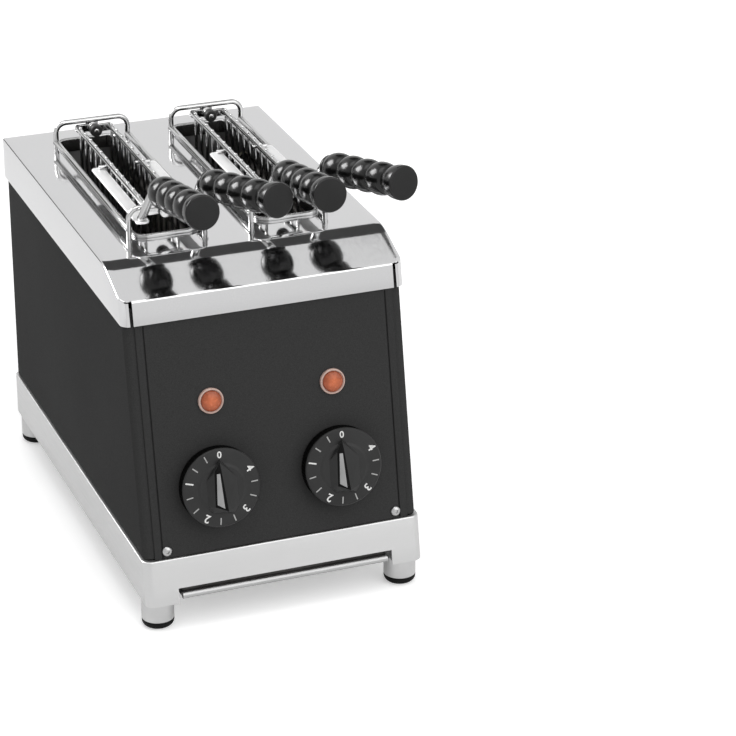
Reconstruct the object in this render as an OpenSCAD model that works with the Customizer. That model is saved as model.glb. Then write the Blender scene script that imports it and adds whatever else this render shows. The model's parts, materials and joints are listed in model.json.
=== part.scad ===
// Two-slot sandwich toaster with lift-out tongs, in millimetres.
// +Z is up, the front faces -Y, and the origin is on the table under the middle of the body.

/* [Body] */
// Width over the base and the top cover
body_w = 215; // [205:1:270]
// Depth of the base at its lower edge
body_d = 365; // [355:1:450]
// Height of the top plate above the table
body_h = 260; // [235:1:330]
// Lean of the front from upright, in degrees
lean = 10.9; // [6:0.1:14]
// Outer radius of the upright corners
corner_r = 7; // [5:0.5:12]
// Step from the base and the top cover back to the black panels
skin_inset = 1.8; // [1.8:0.1:3]
// Thickness of the black panels
skin_t = 1.2; // [0.8:0.1:2]
// Width of the side panels' folded edges, from the outer face
fold_w = 21; // [18:0.5:24]
// Distance from the body's side to the front panel's edge
front_edge = 9.5; // [8:0.5:12]

/* [Top cover] */
// Thickness of the top cover
cover_t = 1.5; // [1:0.1:2]
// Height of the top cover's side flanges
flange_h = 32; // [26:1:40]
// Distance from the body's middle to the start of the front slope
roll_y = 100; // [98:1:110]
// Slope of the front of the top cover, in degrees
roll_slope = 19.8; // [12:0.1:26]
// Radius of the bend between the flat top and the front slope
roll_r = 51; // [30:1:60]
// Radius of the bend between the front slope and the lip
lip_r = 6; // [4:0.5:9]
// Radius of the bend at the rear edge
rear_r = 4; // [3:0.5:8]
// Width of the relief cut at each end of the lip
relief_w = 0.9; // [0.5:0.1:2]
// Length of the relief cut above the lip's lower edge
relief_h = 15; // [8:1:18]

/* [Base] */
// Height of the base
base_h = 34; // [32:1:44]
// Thickness of the base sheet
base_t = 1.5; // [1:0.1:2.5]
// Height of the tray's cut-out above the base's lower edge
cutout_h = 11.5; // [11:0.5:14]
// Distance from the base's edges to a foot's middle
foot_edge = 12.5; // [12.5:0.5:16]
// Height of the base above the table
foot_h = 22; // [18:0.5:30]
// Diameter of a foot
foot_d = 25; // [20:0.5:25]
// Height of a rubber foot pad
pad_h = 6; // [4:0.5:9]
// Rounding of a rubber foot pad
pad_r = 4.5; // [2:0.5:5]
// Radius of a foot's threaded stud
stud_r = 4; // [3:0.5:5]

/* [Crumb tray] */
// Width of the crumb tray
tray_w = 160; // [150:1:161]
// Room behind the crumb tray
tray_room = 30; // [26:1:80]
// Height of the crumb tray's walls
tray_h = 8; // [6:0.5:8.5]
// Thickness of the tray's sheet
tray_t = 1; // [0.6:0.1:1.5]
// Radius of the rolled front edge
tray_roll_r = 2.6; // [2:0.1:3]

/* [Slots] */
// Distance from the body's middle to a slot's middle
slot_x = 47; // [46:0.5:50]
// Distance of the slots' middle behind the body's middle
slot_y = 46; // [42:1:47]
// Clear width of a slot
slot_w = 45; // [42:0.5:46]
// Clear length of a slot
slot_l = 212; // [190:1:213]
// Wall of a slot collar
collar_t = 1.5; // [1:0.1:1.8]
// Height of a slot collar above the top plate
collar_h = 3; // [2:0.2:4]
// Width of a slot collar's rim
rim_w = 3.2; // [2.6:0.1:3.3]

/* [Toasting chambers] */
// Half width of the crumb opening under a slot
crumb_half_w = 33; // [31:0.5:34]
// Distance from a slot's middle to its heating rods
heater_x = 39; // [36:0.5:39.5]
// Distance from a slot's middle to the outer reflector
reflector_x = 47.5; // [46:0.5:48.5]
// Room between a slot's end and a bulkhead
end_room = 3; // [2.5:0.5:4]
// Depth of the top heating rod under the top plate
rod_top = 34; // [28:1:40]
// Distance between heating rods
rod_pitch = 36; // [25:1:45]
// Number of heating rods in a bank
rod_count = 3; // [2:1:3]
// Radius of a heating rod
rod_r = 4; // [3:0.25:5]
// Radius of a ceramic sleeve's collar
sleeve_r = 7; // [6.5:0.1:7.2]

/* [Timers and lamps] */
// Distance from the body's middle to a knob's axis
knob_x = 47; // [40:0.5:52]
// Height of the knobs' axes above the table
knob_z = 105; // [95:0.5:120]
// Radius of a knob's drum
knob_r = 29.5; // [24:0.5:32]
// Height of a knob's drum, whose face carries the scale
skirt_t = 11; // [6:0.5:14]
// Height of a knob's grip above its drum
grip_h = 4; // [3:0.5:12]
// Radius of a timer's shaft
shaft_r = 3; // [2:0.25:4]
// Size of a timer's square body
timer_w = 44; // [36:1:50]
// Depth of a timer's body
timer_d = 34; // [24:1:44]
// Distance from the body's middle to a lamp's axis
lamp_x = 46.6; // [40:0.2:52]
// Height of the lamps' axes above the table
lamp_z = 166.5; // [155:0.5:190]
// Radius of a lamp's bezel
bezel_r = 9.6; // [8:0.1:12]
// Radius of a lamp's lens
lens_r = 7.3; // [5:0.1:7.6]
// Distance from the body's side to a panel screw
screw_edge = 18.8; // [15:0.1:19]
// Height of the panel screws above the table
screw_z = 62; // [61:0.5:70]
// Radius of a panel screw's head
screw_head_r = 3.7; // [3:0.1:4.5]

/* [Tongs] */
// Distance from a slot's rear end to the tong's rear hoop
tong_room = 18.5; // [10:0.5:30]
// Height of a tong's rails above the top plate
rail_h = 8; // [7.5:0.5:9]
// Radius of a rail
rail_r = 2.25; // [1.5:0.05:2.25]
// Distance from a slot's middle to a rail
rail_x = 29; // [28.5:0.25:30]
// Height of the hoops above the top plate
hoop_h = 23.5; // [23:0.5:27]
// Radius of the hoops' wire
hoop_r = 1.8; // [1.2:0.1:1.8]
// Radius of the hoops' bends
hoop_bend = 8; // [6:0.5:10]
// Height of the tong's pivot above the top plate
pivot_h = 18.5; // [18:0.1:19]
// Radius of the pivot pins
pin_r = 2; // [1.5:0.1:2.4]
// Distance from a slot's middle to a grid
grid_x = 12.5; // [11.5:0.25:12.75]
// Depth of a grid under the top plate
grid_depth = 125; // [90:1:130]
// Number of upright wires in a grid
wire_count = 13; // [7:2:17]
// Radius of an upright wire
wire_r = 1.2; // [0.8:0.1:1.5]
// Radius of a grid's top rod
top_rod_r = 2; // [1.5:0.1:2.2]
// Radius of a grid's bottom rod
low_rod_r = 1.6; // [1.2:0.1:2]
// Length of the fingers that carry the bread
finger_l = 9; // [5:0.5:11]
// Width of a handle arm's strap
strap_w = 10; // [6:0.2:10]
// Thickness of a handle arm's strap
strap_t = 1.6; // [1:0.1:2]
// Radius of a handle arm's neck
neck_r = 3.2; // [2.5:0.1:3.5]

/* [Grips] */
// Length of a grip
grip_l = 94; // [80:1:96]
// Radius over a grip's beads
bead_r = 12.2; // [9:0.1:12.4]
// Radius between a grip's beads
waist_r = 8.8; // [6.5:0.1:9.2]
// Number of beads on a grip
bead_count = 4; // [3:1:6]
// Radius of a grip's end disc
disc_r = 12.7; // [10:0.1:12.8]
// Tilt of the grips above level, in degrees
grip_tilt = 10; // [4:0.5:16]
// Turn of each tong's left and right grip from straight ahead, in degrees
grip_turn = [2, 15];
// Distance of each tong's left and right grip from its slot's middle
grip_x = [-12, 24];
// Height of the grips' inner ends above the top plate
grip_z = 44; // [38:0.5:50]
// Distance of the grips' inner ends in front of the tong's front hoop
grip_y = 22; // [18:0.5:28]

/* [Clearances] */
// Gap between shells, and round pieces that pass through a hole
seam = 0.3; // [0.1:0.05:0.5]
// Gap between two pieces that seat on each other
seat = 0.1; // [0.05:0.05:0.3]
// Radial clearance of turning pins and shafts
running = 0.05; // [0.02:0.01:0.1]

/* [Hidden] */
$fn = 48;
ARC_STEPS = 10;
BIG = 900;
LEFT = -1;
RIGHT = 1;

// Heights and limits that follow from the sizes above
base_top = foot_h + base_h;
flange_z = body_h - flange_h;
deck_under = base_top - base_t;
fold_depth = skin_inset + skin_t + seat;
front_half_w = body_w / 2 - front_edge;
screw_x = body_w / 2 - screw_edge;
skin_half_w = body_w / 2 - skin_inset;
inner_half_w = skin_half_w - skin_t;
chamber_half_l = slot_l / 2 + end_room;
chamber_h = body_h - cover_t - seam - base_top;
bulkhead_half_w = slot_x + reflector_x + 1.5;
bulkhead_t = 1.2;
reflector_t = 1;
hole_w = slot_w + 2 * (collar_t + seam);
hole_l = slot_l + 2 * (collar_t + seam);
slot_corner_r = 7;
collar_drop = 8;

// Foot, tray and runner details
tray_d = body_d - tray_room;
cutout_half_w = tray_w / 2 + 3;
foot_stud_h = 8;
foot_plate = 22;
foot_x = body_w / 2 - foot_edge;
foot_front_y = -body_d / 2 + foot_edge + 4;
foot_rear_y = body_d / 2 - foot_edge - 4;
runner_t = 1.2;
runner_lip = 12;
runner_drop = deck_under - foot_h - 0.6;
tray_z = foot_h + 0.6 + runner_t + 2 * seat;
tray_front = -body_d / 2 + 1.2;

// Timer, lamp and screw details
bush_r = 4.5;
bush_h = 3;
knob_gap = 1.2;
hub_r = 17.5;
hub_h = 0.8;
hub_top = skirt_t + hub_h;
inlay_depth = 0.7;
lamp_tube_r = 6;
lamp_tube_l = 18;
bezel_h = 2.4;
lens_rise = 2.2;
lens_stem_r = lamp_tube_r - 1.3;
lens_low = 0.9;
nut_r = 9;
nut_h = 4;
screw_r = 2;
screw_l = 8;
screw_head_h = 2.4;

// Reach of the knobs' grips in front of the body's middle. The gland reaches as far to the rear.
grip_low = 16.8;
grip_top = knob_gap + hub_top + grip_h;
knob_v = (knob_z - foot_h) / cos(lean);
reach = body_d / 2 - (knob_v - grip_low) * sin(lean) + (grip_top - skin_inset) * cos(lean);

// Rear panel, gland and wiring details
rear_face = body_d / 2 - skin_inset - skin_t - seat;
pocket_w = 46;
pocket_d = 12;
pocket_x = -60;
pocket_z = base_top + 32;
gland_bore_r = 4.5;
gland_flange_r = 13;
gland_nose_r = 9.5;
gland_nut_l = 6;
gland_back = skin_t + seat + gland_nut_l;
vent_w = 4;
vent_l = 34;
vent_pitch = 13;
vent_columns = 9;
vent_z = flange_z - 30;
terminal_w = 40;
terminal_d = 14;
terminal_h = 20;
terminal_x = 10;
terminal_y = slot_y + chamber_half_l + bulkhead_t + 11;
wire_cable_r = 3;
wire_depth = 22;
wire_z = base_top + wire_cable_r + seam;
wire_x = inner_half_w - wire_cable_r - 1.2;
wire_v = (wire_z - foot_h + wire_depth * sin(lean)) / cos(lean);
wire_y = -body_d / 2 + wire_v * sin(lean) + wire_depth * cos(lean);

// Tong details, with heights counted from the top plate
tong_front = slot_y - slot_l / 2;
tong_rear = slot_y + slot_l / 2 - tong_room;
tab_t = 2;
tab_w = 10;
eye_r = 4.2;
eye_w = 2.6;
eye_start = [2.2, 5.2];
bush_start = 8.2;
bush_w = 6;
bush_outer_r = 4.8;
rod_h = pivot_h + 1;
wire_margin = 13;
wire_top = rod_h + top_rod_r + 0.6;
cross_y = slot_y - 1;
cross_r = 1.4;
cross_h = rod_h - top_rod_r + 0.1;
cross_in = 4;
strap_top = cross_h - cross_r - seat;
strap_mid = grid_x + 3.1 + strap_w / 2;
strap_front = tong_front - 5;
neck_y = tong_front - 6.5;
joint_swell = 0.2;
tang_r = 3;
tang_l = 42;
neck_back = 10;
grip_collar_l = 5;
grip_end_l = 17;
disc_t = 4;
disc_edge = 0.8;
flare_y = grip_l - grip_end_l;
flare_l = grip_end_l - disc_t;

// Plane geometry
function unit(v) = v / norm(v);
function cross2(a, b) = a[0] * b[1] - a[1] * b[0];
function meet(p, d, q, e) = p + d * cross2(q - p, e) / cross2(d, e);
function flat(c) = [c[0], c[1]];

// Points of a round corner at b, between a and c, with radius r
function corner_arc(a, b, c, r) = r <= 0 ? [b] :
    let (u = unit(a - b), v = unit(c - b), half = acos(u * v) / 2)
    let (o = b + unit(u + v) * r / sin(half), t = r / tan(half))
    let (s = b + u * t - o, e = b + v * t - o)
    let (from = atan2(s[1], s[0]), turn = (atan2(e[1], e[0]) - from + 900) % 360 - 180)
    [for (i = [0 : ARC_STEPS]) let (a = from + turn * i / ARC_STEPS) o + r * [cos(a), sin(a)]];

// Closed outline from corners [x, y, radius]
function rounded(corners) = let (n = len(corners))
    [for (i = [0 : n - 1]) each corner_arc(flat(corners[(i + n - 1) % n]), flat(corners[i]),
        flat(corners[(i + 1) % n]), corners[i][2])];

// Side outline of the top cover in Y and Z, moved in by inset and closed at height low
function cover_outline(inset, low) =
    let (lip_dir = [sin(lean), cos(lean)], slope_dir = [-cos(roll_slope), -sin(roll_slope)])
    let (lip_at = [-body_d / 2, foot_h] + inset * [cos(lean), -sin(lean)])
    let (slope_at = [-roll_y, body_h] + inset * [sin(roll_slope), -cos(roll_slope)])
    let (top = body_h - inset, back = body_d / 2 - inset)
    let (bend = meet([0, top], [1, 0], slope_at, slope_dir))
    let (nose = meet(slope_at, slope_dir, lip_at, lip_dir), lip_low = meet([0, low], [1, 0], lip_at, lip_dir))
    rounded([[back, low, 0], [back, top, rear_r - inset], [bend[0], bend[1], roll_r - inset],
        [nose[0], nose[1], lip_r - inset], [lip_low[0], lip_low[1], 0]]);

// Frames: the plane of the front, a point on the front panel, a slot, and a grip's axis
module on_slope() translate([0, -body_d / 2, foot_h]) rotate([90 - lean, 0, 0]) children();
module on_panel(x, z) on_slope() translate([x, (z - foot_h) / cos(lean), -skin_inset]) children();
module at_slot(side) translate([side * slot_x, 0, body_h]) children();
module along_grip(i) translate([grip_x[i], tong_front - grip_y, grip_z])
    rotate([90 - grip_tilt, 0, grip_turn[i]]) children();

// Bars along X and Y from a centre point
module along_x(w) rotate([90, 0, 90]) linear_extrude(w, center = true) children();
module rod_x(from, to, r) translate([from, 0, 0]) rotate([0, 90, 0]) cylinder(h = to - from, r = r);
module rod_y(from, to, r) translate([0, to, 0]) rotate([90, 0, 0]) cylinder(h = to - from, r = r);
module rod_between(a, b, r) {
    d = b - a;
    translate(a) rotate([0, acos(d[2] / norm(d)), atan2(d[1], d[0])]) cylinder(h = norm(d), r = r);
}

module round_rect(w, l, r) {
    square([w - 2 * r, l], center = true);
    square([w, l - 2 * r], center = true);
    for (x = [-1, 1], y = [-1, 1]) translate([x * (w / 2 - r), y * (l / 2 - r)]) circle(r);
}

// Half plane with two round corners at its leading edge y = 0
module round_front(w, r) {
    translate([-w / 2, -BIG]) square([w, BIG - r]);
    translate([-w / 2 + r, -BIG]) square([w - 2 * r, BIG]);
    for (x = [-1, 1]) translate([x * (w / 2 - r), -r]) circle(r);
}

// Block with the body's plan and leaning front, moved in from the sides, front and rear
module body_block(side, front, rear, r, low, high) intersection() {
    on_slope() rotate([90, 0, 0]) linear_extrude(BIG, center = true)
        translate([0, -front]) round_front(body_w - 2 * side, r);
    translate([0, 0, low]) linear_extrude(high - low)
        translate([0, body_d / 2 - rear]) round_front(body_w - 2 * side, r);
}

// Space under the top cover and above the base's deck
module under_cover() intersection() {
    along_x(BIG) polygon(cover_outline(cover_t + seam, base_top));
    children();
}

module base_frame() color("gainsboro") difference() {
    body_block(0, 0, 0, corner_r, foot_h, base_top);
    difference() {
        body_block(base_t, base_t, base_t, corner_r - base_t, foot_h - 1, deck_under);
        for (x = [LEFT, RIGHT], y = [foot_front_y, foot_rear_y])
            translate([x * (body_w / 2 - foot_plate / 2), y, foot_h + base_t / 2])
                cube([foot_plate, 2 * foot_plate, base_t], center = true);
    }
    for (x = [LEFT, RIGHT]) {
        translate([x * slot_x, slot_y, deck_under - 1]) linear_extrude(base_t + 2)
            square([2 * crumb_half_w, 2 * chamber_half_l - 4], center = true);
        for (y = [foot_front_y, foot_rear_y])
            translate([x * foot_x, y, foot_h - 1]) cylinder(h = base_t + 2, r = stud_r + seam);
    }
    translate([-cutout_half_w, -BIG, foot_h - 1])
        cube([2 * cutout_half_w, BIG - body_d / 2 + 12, cutout_h + 1]);
}

module crumb_tray() color("silver") {
    translate([-tray_w / 2, tray_front + 2 * tray_roll_r - 0.6, tray_z]) difference() {
        cube([tray_w, tray_d, tray_h]);
        translate([tray_t, tray_t, tray_t]) cube([tray_w - 2 * tray_t, tray_d - 2 * tray_t, tray_h]);
    }
    translate([0, tray_front + tray_roll_r, tray_z + tray_roll_r])
        rod_x(-tray_w / 2, tray_w / 2, tray_roll_r);
}

module tray_runners() color("silver") for (x = [LEFT, RIGHT]) {
    web = tray_w / 2 + 0.6 + runner_t / 2;
    length = tray_d - 20;
    rear = tray_front + tray_d;
    translate([x * web, rear - length / 2, deck_under - runner_drop]) {
        translate([0, 0, runner_drop / 2]) cube([runner_t, length, runner_drop], center = true);
        translate([x * (runner_t - runner_lip) / 2, 0, runner_t / 2])
            cube([runner_lip, length, runner_t], center = true);
    }
}

// One black side panel with its folded front and rear edges
module side_panel(side) color("#303030") difference() {
    under_cover() intersection() {
        difference() {
            body_block(skin_inset, fold_depth, skin_inset, corner_r - 1, base_top, body_h);
            body_block(skin_inset + skin_t, fold_depth + skin_t, skin_inset + skin_t,
                corner_r - 1 - skin_t, base_top - 1, body_h + 1);
        }
        translate([side * (skin_half_w - fold_w / 2), 0, 0]) cube([fold_w, BIG, BIG], center = true);
    }
    on_panel(side * screw_x, screw_z) translate([0, 0, -screw_l]) cylinder(h = screw_l, r = screw_r + seat);
}

module left_side_panel() side_panel(LEFT);
module right_side_panel() side_panel(RIGHT);

module front_panel() color("#3a3a3a") difference() {
    under_cover() on_panel(0, foot_h) translate([-front_half_w, 0, -skin_t])
        cube([2 * front_half_w, BIG, skin_t]);
    for (x = [LEFT, RIGHT]) {
        on_panel(x * knob_x, knob_z) translate([0, 0, -5]) cylinder(h = 10, r = bush_r + seam);
        on_panel(x * lamp_x, lamp_z) translate([0, 0, -5]) cylinder(h = 10, r = lamp_tube_r + seat);
        on_panel(x * screw_x, screw_z) translate([0, 0, -5]) cylinder(h = 10, r = screw_r + seat);
    }
}

module rear_panel() color("#303030") {
    half_w = inner_half_w - corner_r - seat;
    difference() {
        under_cover() translate([-half_w, rear_face - skin_t, 0]) cube([2 * half_w, skin_t, BIG]);
        translate([pocket_x, rear_face, pocket_z]) cube([pocket_w, 4 * skin_t, pocket_w], center = true);
        for (row = [0, 1], i = [0 : vent_columns - 1])
            translate([(i - (vent_columns - 1) / 2) * vent_pitch, rear_face, vent_z - row * (vent_l + 10)])
                cube([vent_w, 4 * skin_t, vent_l], center = true);
    }
    translate([pocket_x, rear_face - pocket_d / 2, pocket_z]) difference() {
        cube([pocket_w + 2 * skin_t, pocket_d, pocket_w + 2 * skin_t], center = true);
        translate([0, skin_t, 0]) cube([pocket_w, pocket_d, pocket_w], center = true);
        rotate([90, 0, 0]) cylinder(h = 2 * pocket_d, r = gland_nose_r + seam, center = true);
    }
}

module top_cover() color("gainsboro") difference() {
    along_x(body_w) polygon(cover_outline(0, flange_z));
    along_x(body_w - 2 * cover_t) polygon(cover_outline(cover_t, flange_z - 1));
    for (x = [LEFT, RIGHT]) {
        translate([x * slot_x, slot_y, body_h - cover_t - 1]) linear_extrude(cover_t + 2)
            round_rect(hole_w, hole_l, slot_corner_r + collar_t + seam);
        on_slope() translate([x * (body_w / 2 - cover_t), (flange_z - foot_h) / cos(lean), 0])
            cube([relief_w, 2 * relief_h, 5 * cover_t], center = true);
    }
}

// Rolled rim round a slot, with a neck that hangs in the top cover
module slot_collar(side) color("silver") translate([side * slot_x, slot_y, body_h]) difference() {
    union() {
        linear_extrude(collar_h) round_rect(slot_w + 2 * rim_w, slot_l + 2 * rim_w, slot_corner_r + rim_w);
        translate([0, 0, -collar_drop]) linear_extrude(collar_drop)
            round_rect(slot_w + 2 * collar_t, slot_l + 2 * collar_t, slot_corner_r + collar_t);
    }
    translate([0, 0, -collar_drop - 1]) linear_extrude(collar_drop + collar_h + 2)
        round_rect(slot_w, slot_l, slot_corner_r);
}

module left_slot_collar() slot_collar(LEFT);
module right_slot_collar() slot_collar(RIGHT);

function heater_places() = [for (s = [LEFT, RIGHT], d = [LEFT, RIGHT]) s * slot_x + d * heater_x];
function rod_heights() = [for (i = [0 : rod_count - 1]) body_h - rod_top - i * rod_pitch];

// Upright plate across the body that closes the chambers, drilled for the ceramic sleeves
module bulkhead(y) color("silver") difference() {
    translate([-bulkhead_half_w, y, base_top]) cube([2 * bulkhead_half_w, bulkhead_t, chamber_h]);
    for (x = heater_places(), z = rod_heights())
        translate([x, y + bulkhead_t / 2, z]) rotate([90, 0, 0])
            cylinder(h = 4 * bulkhead_t, r = sleeve_r - 1 + seat, center = true);
}

module front_bulkhead() bulkhead(slot_y - chamber_half_l - bulkhead_t);
module rear_bulkhead() bulkhead(slot_y + chamber_half_l);

// Polished sheet that stands on the deck between the bulkheads
module reflector(x) color("whitesmoke")
    translate([x - reflector_t / 2, slot_y - chamber_half_l + seat, base_top])
        cube([reflector_t, 2 * (chamber_half_l - seat), body_h - collar_drop - base_top]);

module left_reflector() reflector(-slot_x - reflector_x);
module centre_reflector() reflector(0);
module right_reflector() reflector(slot_x + reflector_x);

rod_overhang = bulkhead_t + 14;

module heater(i) color("dimgray") for (z = rod_heights())
    translate([heater_places()[i], 0, z])
        rod_y(slot_y - chamber_half_l - rod_overhang, slot_y + chamber_half_l + rod_overhang, rod_r);

module left_outer_heater() heater(0);
module left_inner_heater() heater(1);
module right_inner_heater() heater(2);
module right_outer_heater() heater(3);

// Ceramic sleeves that carry the rods in the bulkheads
module ceramic_sleeves() color("ivory")
    for (x = heater_places(), z = rod_heights(), end = [LEFT, RIGHT])
        translate([x, slot_y + end * (chamber_half_l + bulkhead_t), z]) rotate([-90 * end, 0, 0])
            difference() {
                union() {
                    translate([0, 0, -bulkhead_t]) cylinder(h = bulkhead_t, r = sleeve_r - 1);
                    cylinder(h = 10, r = sleeve_r);
                }
                translate([0, 0, -2 * bulkhead_t]) cylinder(h = 20, r = rod_r + seat);
            }

// Clockwork timer behind the front panel, with its threaded bush through the panel
module timer(side) color("silver") on_panel(side * knob_x, knob_z) difference() {
    union() {
        translate([0, 0, -skin_t - seat - timer_d / 2]) cube([timer_w, timer_w, timer_d], center = true);
        translate([0, 0, -skin_t - 1]) cylinder(h = skin_t + 1 + bush_h, r = bush_r);
    }
    translate([0, 0, -timer_d / 2]) cylinder(h = timer_d, r = shaft_r + running);
}

module left_timer() timer(LEFT);
module right_timer() timer(RIGHT);

shaft_top = grip_top - grip_h / 2;

module timer_shaft(side) color("silver") on_panel(side * knob_x, knob_z)
    translate([0, 0, -timer_d / 2 + seam]) cylinder(h = timer_d / 2 - seam + shaft_top, r = shaft_r);

module left_timer_shaft() timer_shaft(LEFT);
module right_timer_shaft() timer_shaft(RIGHT);

// Light wedge on the knob's grip, moved in by inset
module inlay_outline(inset) polygon([[-4.6 + inset, 14 - inset], [-2 - inset, 14 - inset],
    [-0.3 - inset, -14.4 + inset], [-5.8 + inset, -10.6 + inset]]);

// Drum with a bevelled rim, a low hub and a pointed grip whose ridge stands to its left
module knob(side) color("#1c1c1c") on_panel(side * knob_x, knob_z) translate([0, 0, knob_gap]) difference() {
    union() {
        rotate_extrude($fn = 96)
            polygon([[0, 0], [knob_r - 0.6, 0], [knob_r, 0.6], [knob_r, skirt_t - 1.8],
                [knob_r - 1.4, skirt_t - 0.4], [hub_r + 1, skirt_t], [hub_r - 1, hub_top], [0, hub_top]]);
        hull() {
            translate([0, 0, skirt_t]) linear_extrude(hub_h) polygon([[0, 21.5], [11.5, 7], [11.5, -14],
                [8, -19.5], [-8, -17.5], [-11.5, -13], [-11.5, 7]]);
            translate([0, 0, hub_top + grip_h - 1]) linear_extrude(1) polygon([[-3.4, 17.5], [-1, 15.5],
                [2.4, -grip_low], [-7.2, 4.6 - grip_low], [-6, 15.5]]);
        }
    }
    translate([0, 0, hub_top + grip_h - inlay_depth]) linear_extrude(1) inlay_outline(0);
    translate([0, 0, -1]) cylinder(h = shaft_top + seam - knob_gap + 1, r = shaft_r + running);
    translate([0, 0, -1]) cylinder(h = bush_h + 1, r = bush_r + 2 * seam);
}

module left_knob() knob(LEFT);
module right_knob() knob(RIGHT);

module knob_inlay(side) color("darkgray") on_panel(side * knob_x, knob_z)
    translate([0, 0, grip_top - inlay_depth]) linear_extrude(inlay_depth) inlay_outline(seat);

module left_knob_inlay() knob_inlay(LEFT);
module right_knob_inlay() knob_inlay(RIGHT);

// Round bezel with a recess for the lens and a tube through the panel
module lamp_bezel(side) color("rosybrown") on_panel(side * lamp_x, lamp_z) rotate_extrude()
    polygon([[lens_stem_r + seat, -lamp_tube_l], [lamp_tube_r, -lamp_tube_l], [lamp_tube_r, 0],
        [bezel_r, 0], [bezel_r, bezel_h - 1], [bezel_r - 0.8, bezel_h], [lens_r + seat, bezel_h],
        [lens_r + seat, lens_low - seat], [lens_stem_r + seat, lens_low - seat]]);

module left_lamp_bezel() lamp_bezel(LEFT);
module right_lamp_bezel() lamp_bezel(RIGHT);

// Domed lens with a stem in the bezel's tube
module lamp_lens(side) color("tomato") on_panel(side * lamp_x, lamp_z) rotate_extrude()
    polygon(concat([[0, 4 - lamp_tube_l], [lens_stem_r, 4 - lamp_tube_l], [lens_stem_r, lens_low],
        [lens_r, lens_low], [lens_r, bezel_h]],
        [for (a = [10 : 10 : 90]) [lens_r * cos(a), bezel_h + lens_rise * sin(a)]]));

module left_lamp_lens() lamp_lens(LEFT);
module right_lamp_lens() lamp_lens(RIGHT);

module lamp_nuts() color("silver") for (x = [LEFT, RIGHT]) on_panel(x * lamp_x, lamp_z)
    translate([0, 0, -skin_t - seat - nut_h]) difference() {
        cylinder(h = nut_h, r = nut_r, $fn = 6);
        translate([0, 0, -1]) cylinder(h = nut_h + 2, r = lamp_tube_r + seat, $fn = 48);
    }

// Pan-head screws with a six-sided socket
module panel_screws() color("silver") for (x = [LEFT, RIGHT]) on_panel(x * screw_x, screw_z) difference() {
    union() {
        rotate_extrude() polygon(concat([[0, 0], [screw_head_r, 0]],
            [for (a = [0 : 15 : 90]) [screw_head_r * cos(a), 0.5 + (screw_head_h - 0.5) * sin(a)]]));
        translate([0, 0, -screw_l]) cylinder(h = screw_l, r = screw_r);
    }
    translate([0, 0, screw_head_h - 1.3]) cylinder(h = 3, r = 1.5, $fn = 6);
}

// Foot sleeve with a stud through the base
module foot(side, y) color("darkgray") translate([side * foot_x, y, 0]) {
    translate([0, 0, pad_h]) cylinder(h = foot_h - pad_h, r = foot_d / 2);
    translate([0, 0, foot_h]) cylinder(h = foot_stud_h, r = stud_r);
}

module front_left_foot() foot(LEFT, foot_front_y);
module front_right_foot() foot(RIGHT, foot_front_y);
module rear_left_foot() foot(LEFT, foot_rear_y);
module rear_right_foot() foot(RIGHT, foot_rear_y);

module foot_pads() color("#151515") for (x = [LEFT, RIGHT], y = [foot_front_y, foot_rear_y])
    translate([x * foot_x, y, 0]) rotate_extrude()
        polygon(concat([[0, 0]],
            [for (a = [-90 : 15 : 0]) [foot_d / 2 - pad_r + pad_r * cos(a), pad_r + pad_r * sin(a)]],
            [[foot_d / 2, pad_h], [0, pad_h]]));

// Cable gland in the rear pocket, with its nut inside
module cable_gland() color("#151515")
    translate([pocket_x, rear_face - pocket_d + skin_t, pocket_z]) rotate([-90, 0, 0]) difference() {
        union() {
            translate([0, 0, seat]) cylinder(h = 4, r = gland_flange_r);
            translate([0, 0, -gland_back]) {
                cylinder(h = gland_back + reach - rear_face + pocket_d - skin_t, r = gland_nose_r);
                cylinder(h = gland_nut_l, r = gland_flange_r, $fn = 6);
            }
        }
        translate([0, 0, -30]) cylinder(h = 60, r = gland_bore_r);
    }

module terminal_block() color("ivory") translate([terminal_x, terminal_y, base_top]) difference() {
    translate([0, 0, terminal_h / 2]) cube([terminal_w, terminal_d, terminal_h], center = true);
    for (i = [-1 : 1]) translate([i * terminal_w / 3, 0, terminal_h / 2 + 2]) {
        rotate([90, 0, 0]) cylinder(h = 2 * terminal_d, r = 2.5, center = true);
        cylinder(h = terminal_h, r = 2);
    }
}

// Loom from the terminal block along the left side to both timers
module wiring() color("dimgray") {
    start = [terminal_x - terminal_w / 2 - seat, terminal_y, wire_z];
    rear = [-wire_x, terminal_y, wire_z];
    front = [-wire_x, wire_y, wire_z];
    finish = [knob_x, wire_y, wire_z];
    rod_between(rear, start, wire_cable_r);
    rod_between(front, rear, wire_cable_r);
    rod_between(front, finish, wire_cable_r);
    for (p = [rear, front, finish]) translate(p) sphere(wire_cable_r + joint_swell);
    riser = knob_v - timer_w / 2 - seam - wire_v;
    for (x = [LEFT, RIGHT]) on_slope() translate([x * knob_x, wire_v, -wire_depth])
        rotate([-90, 0, 0]) cylinder(h = riser, r = wire_cable_r - 0.6);
}

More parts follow.
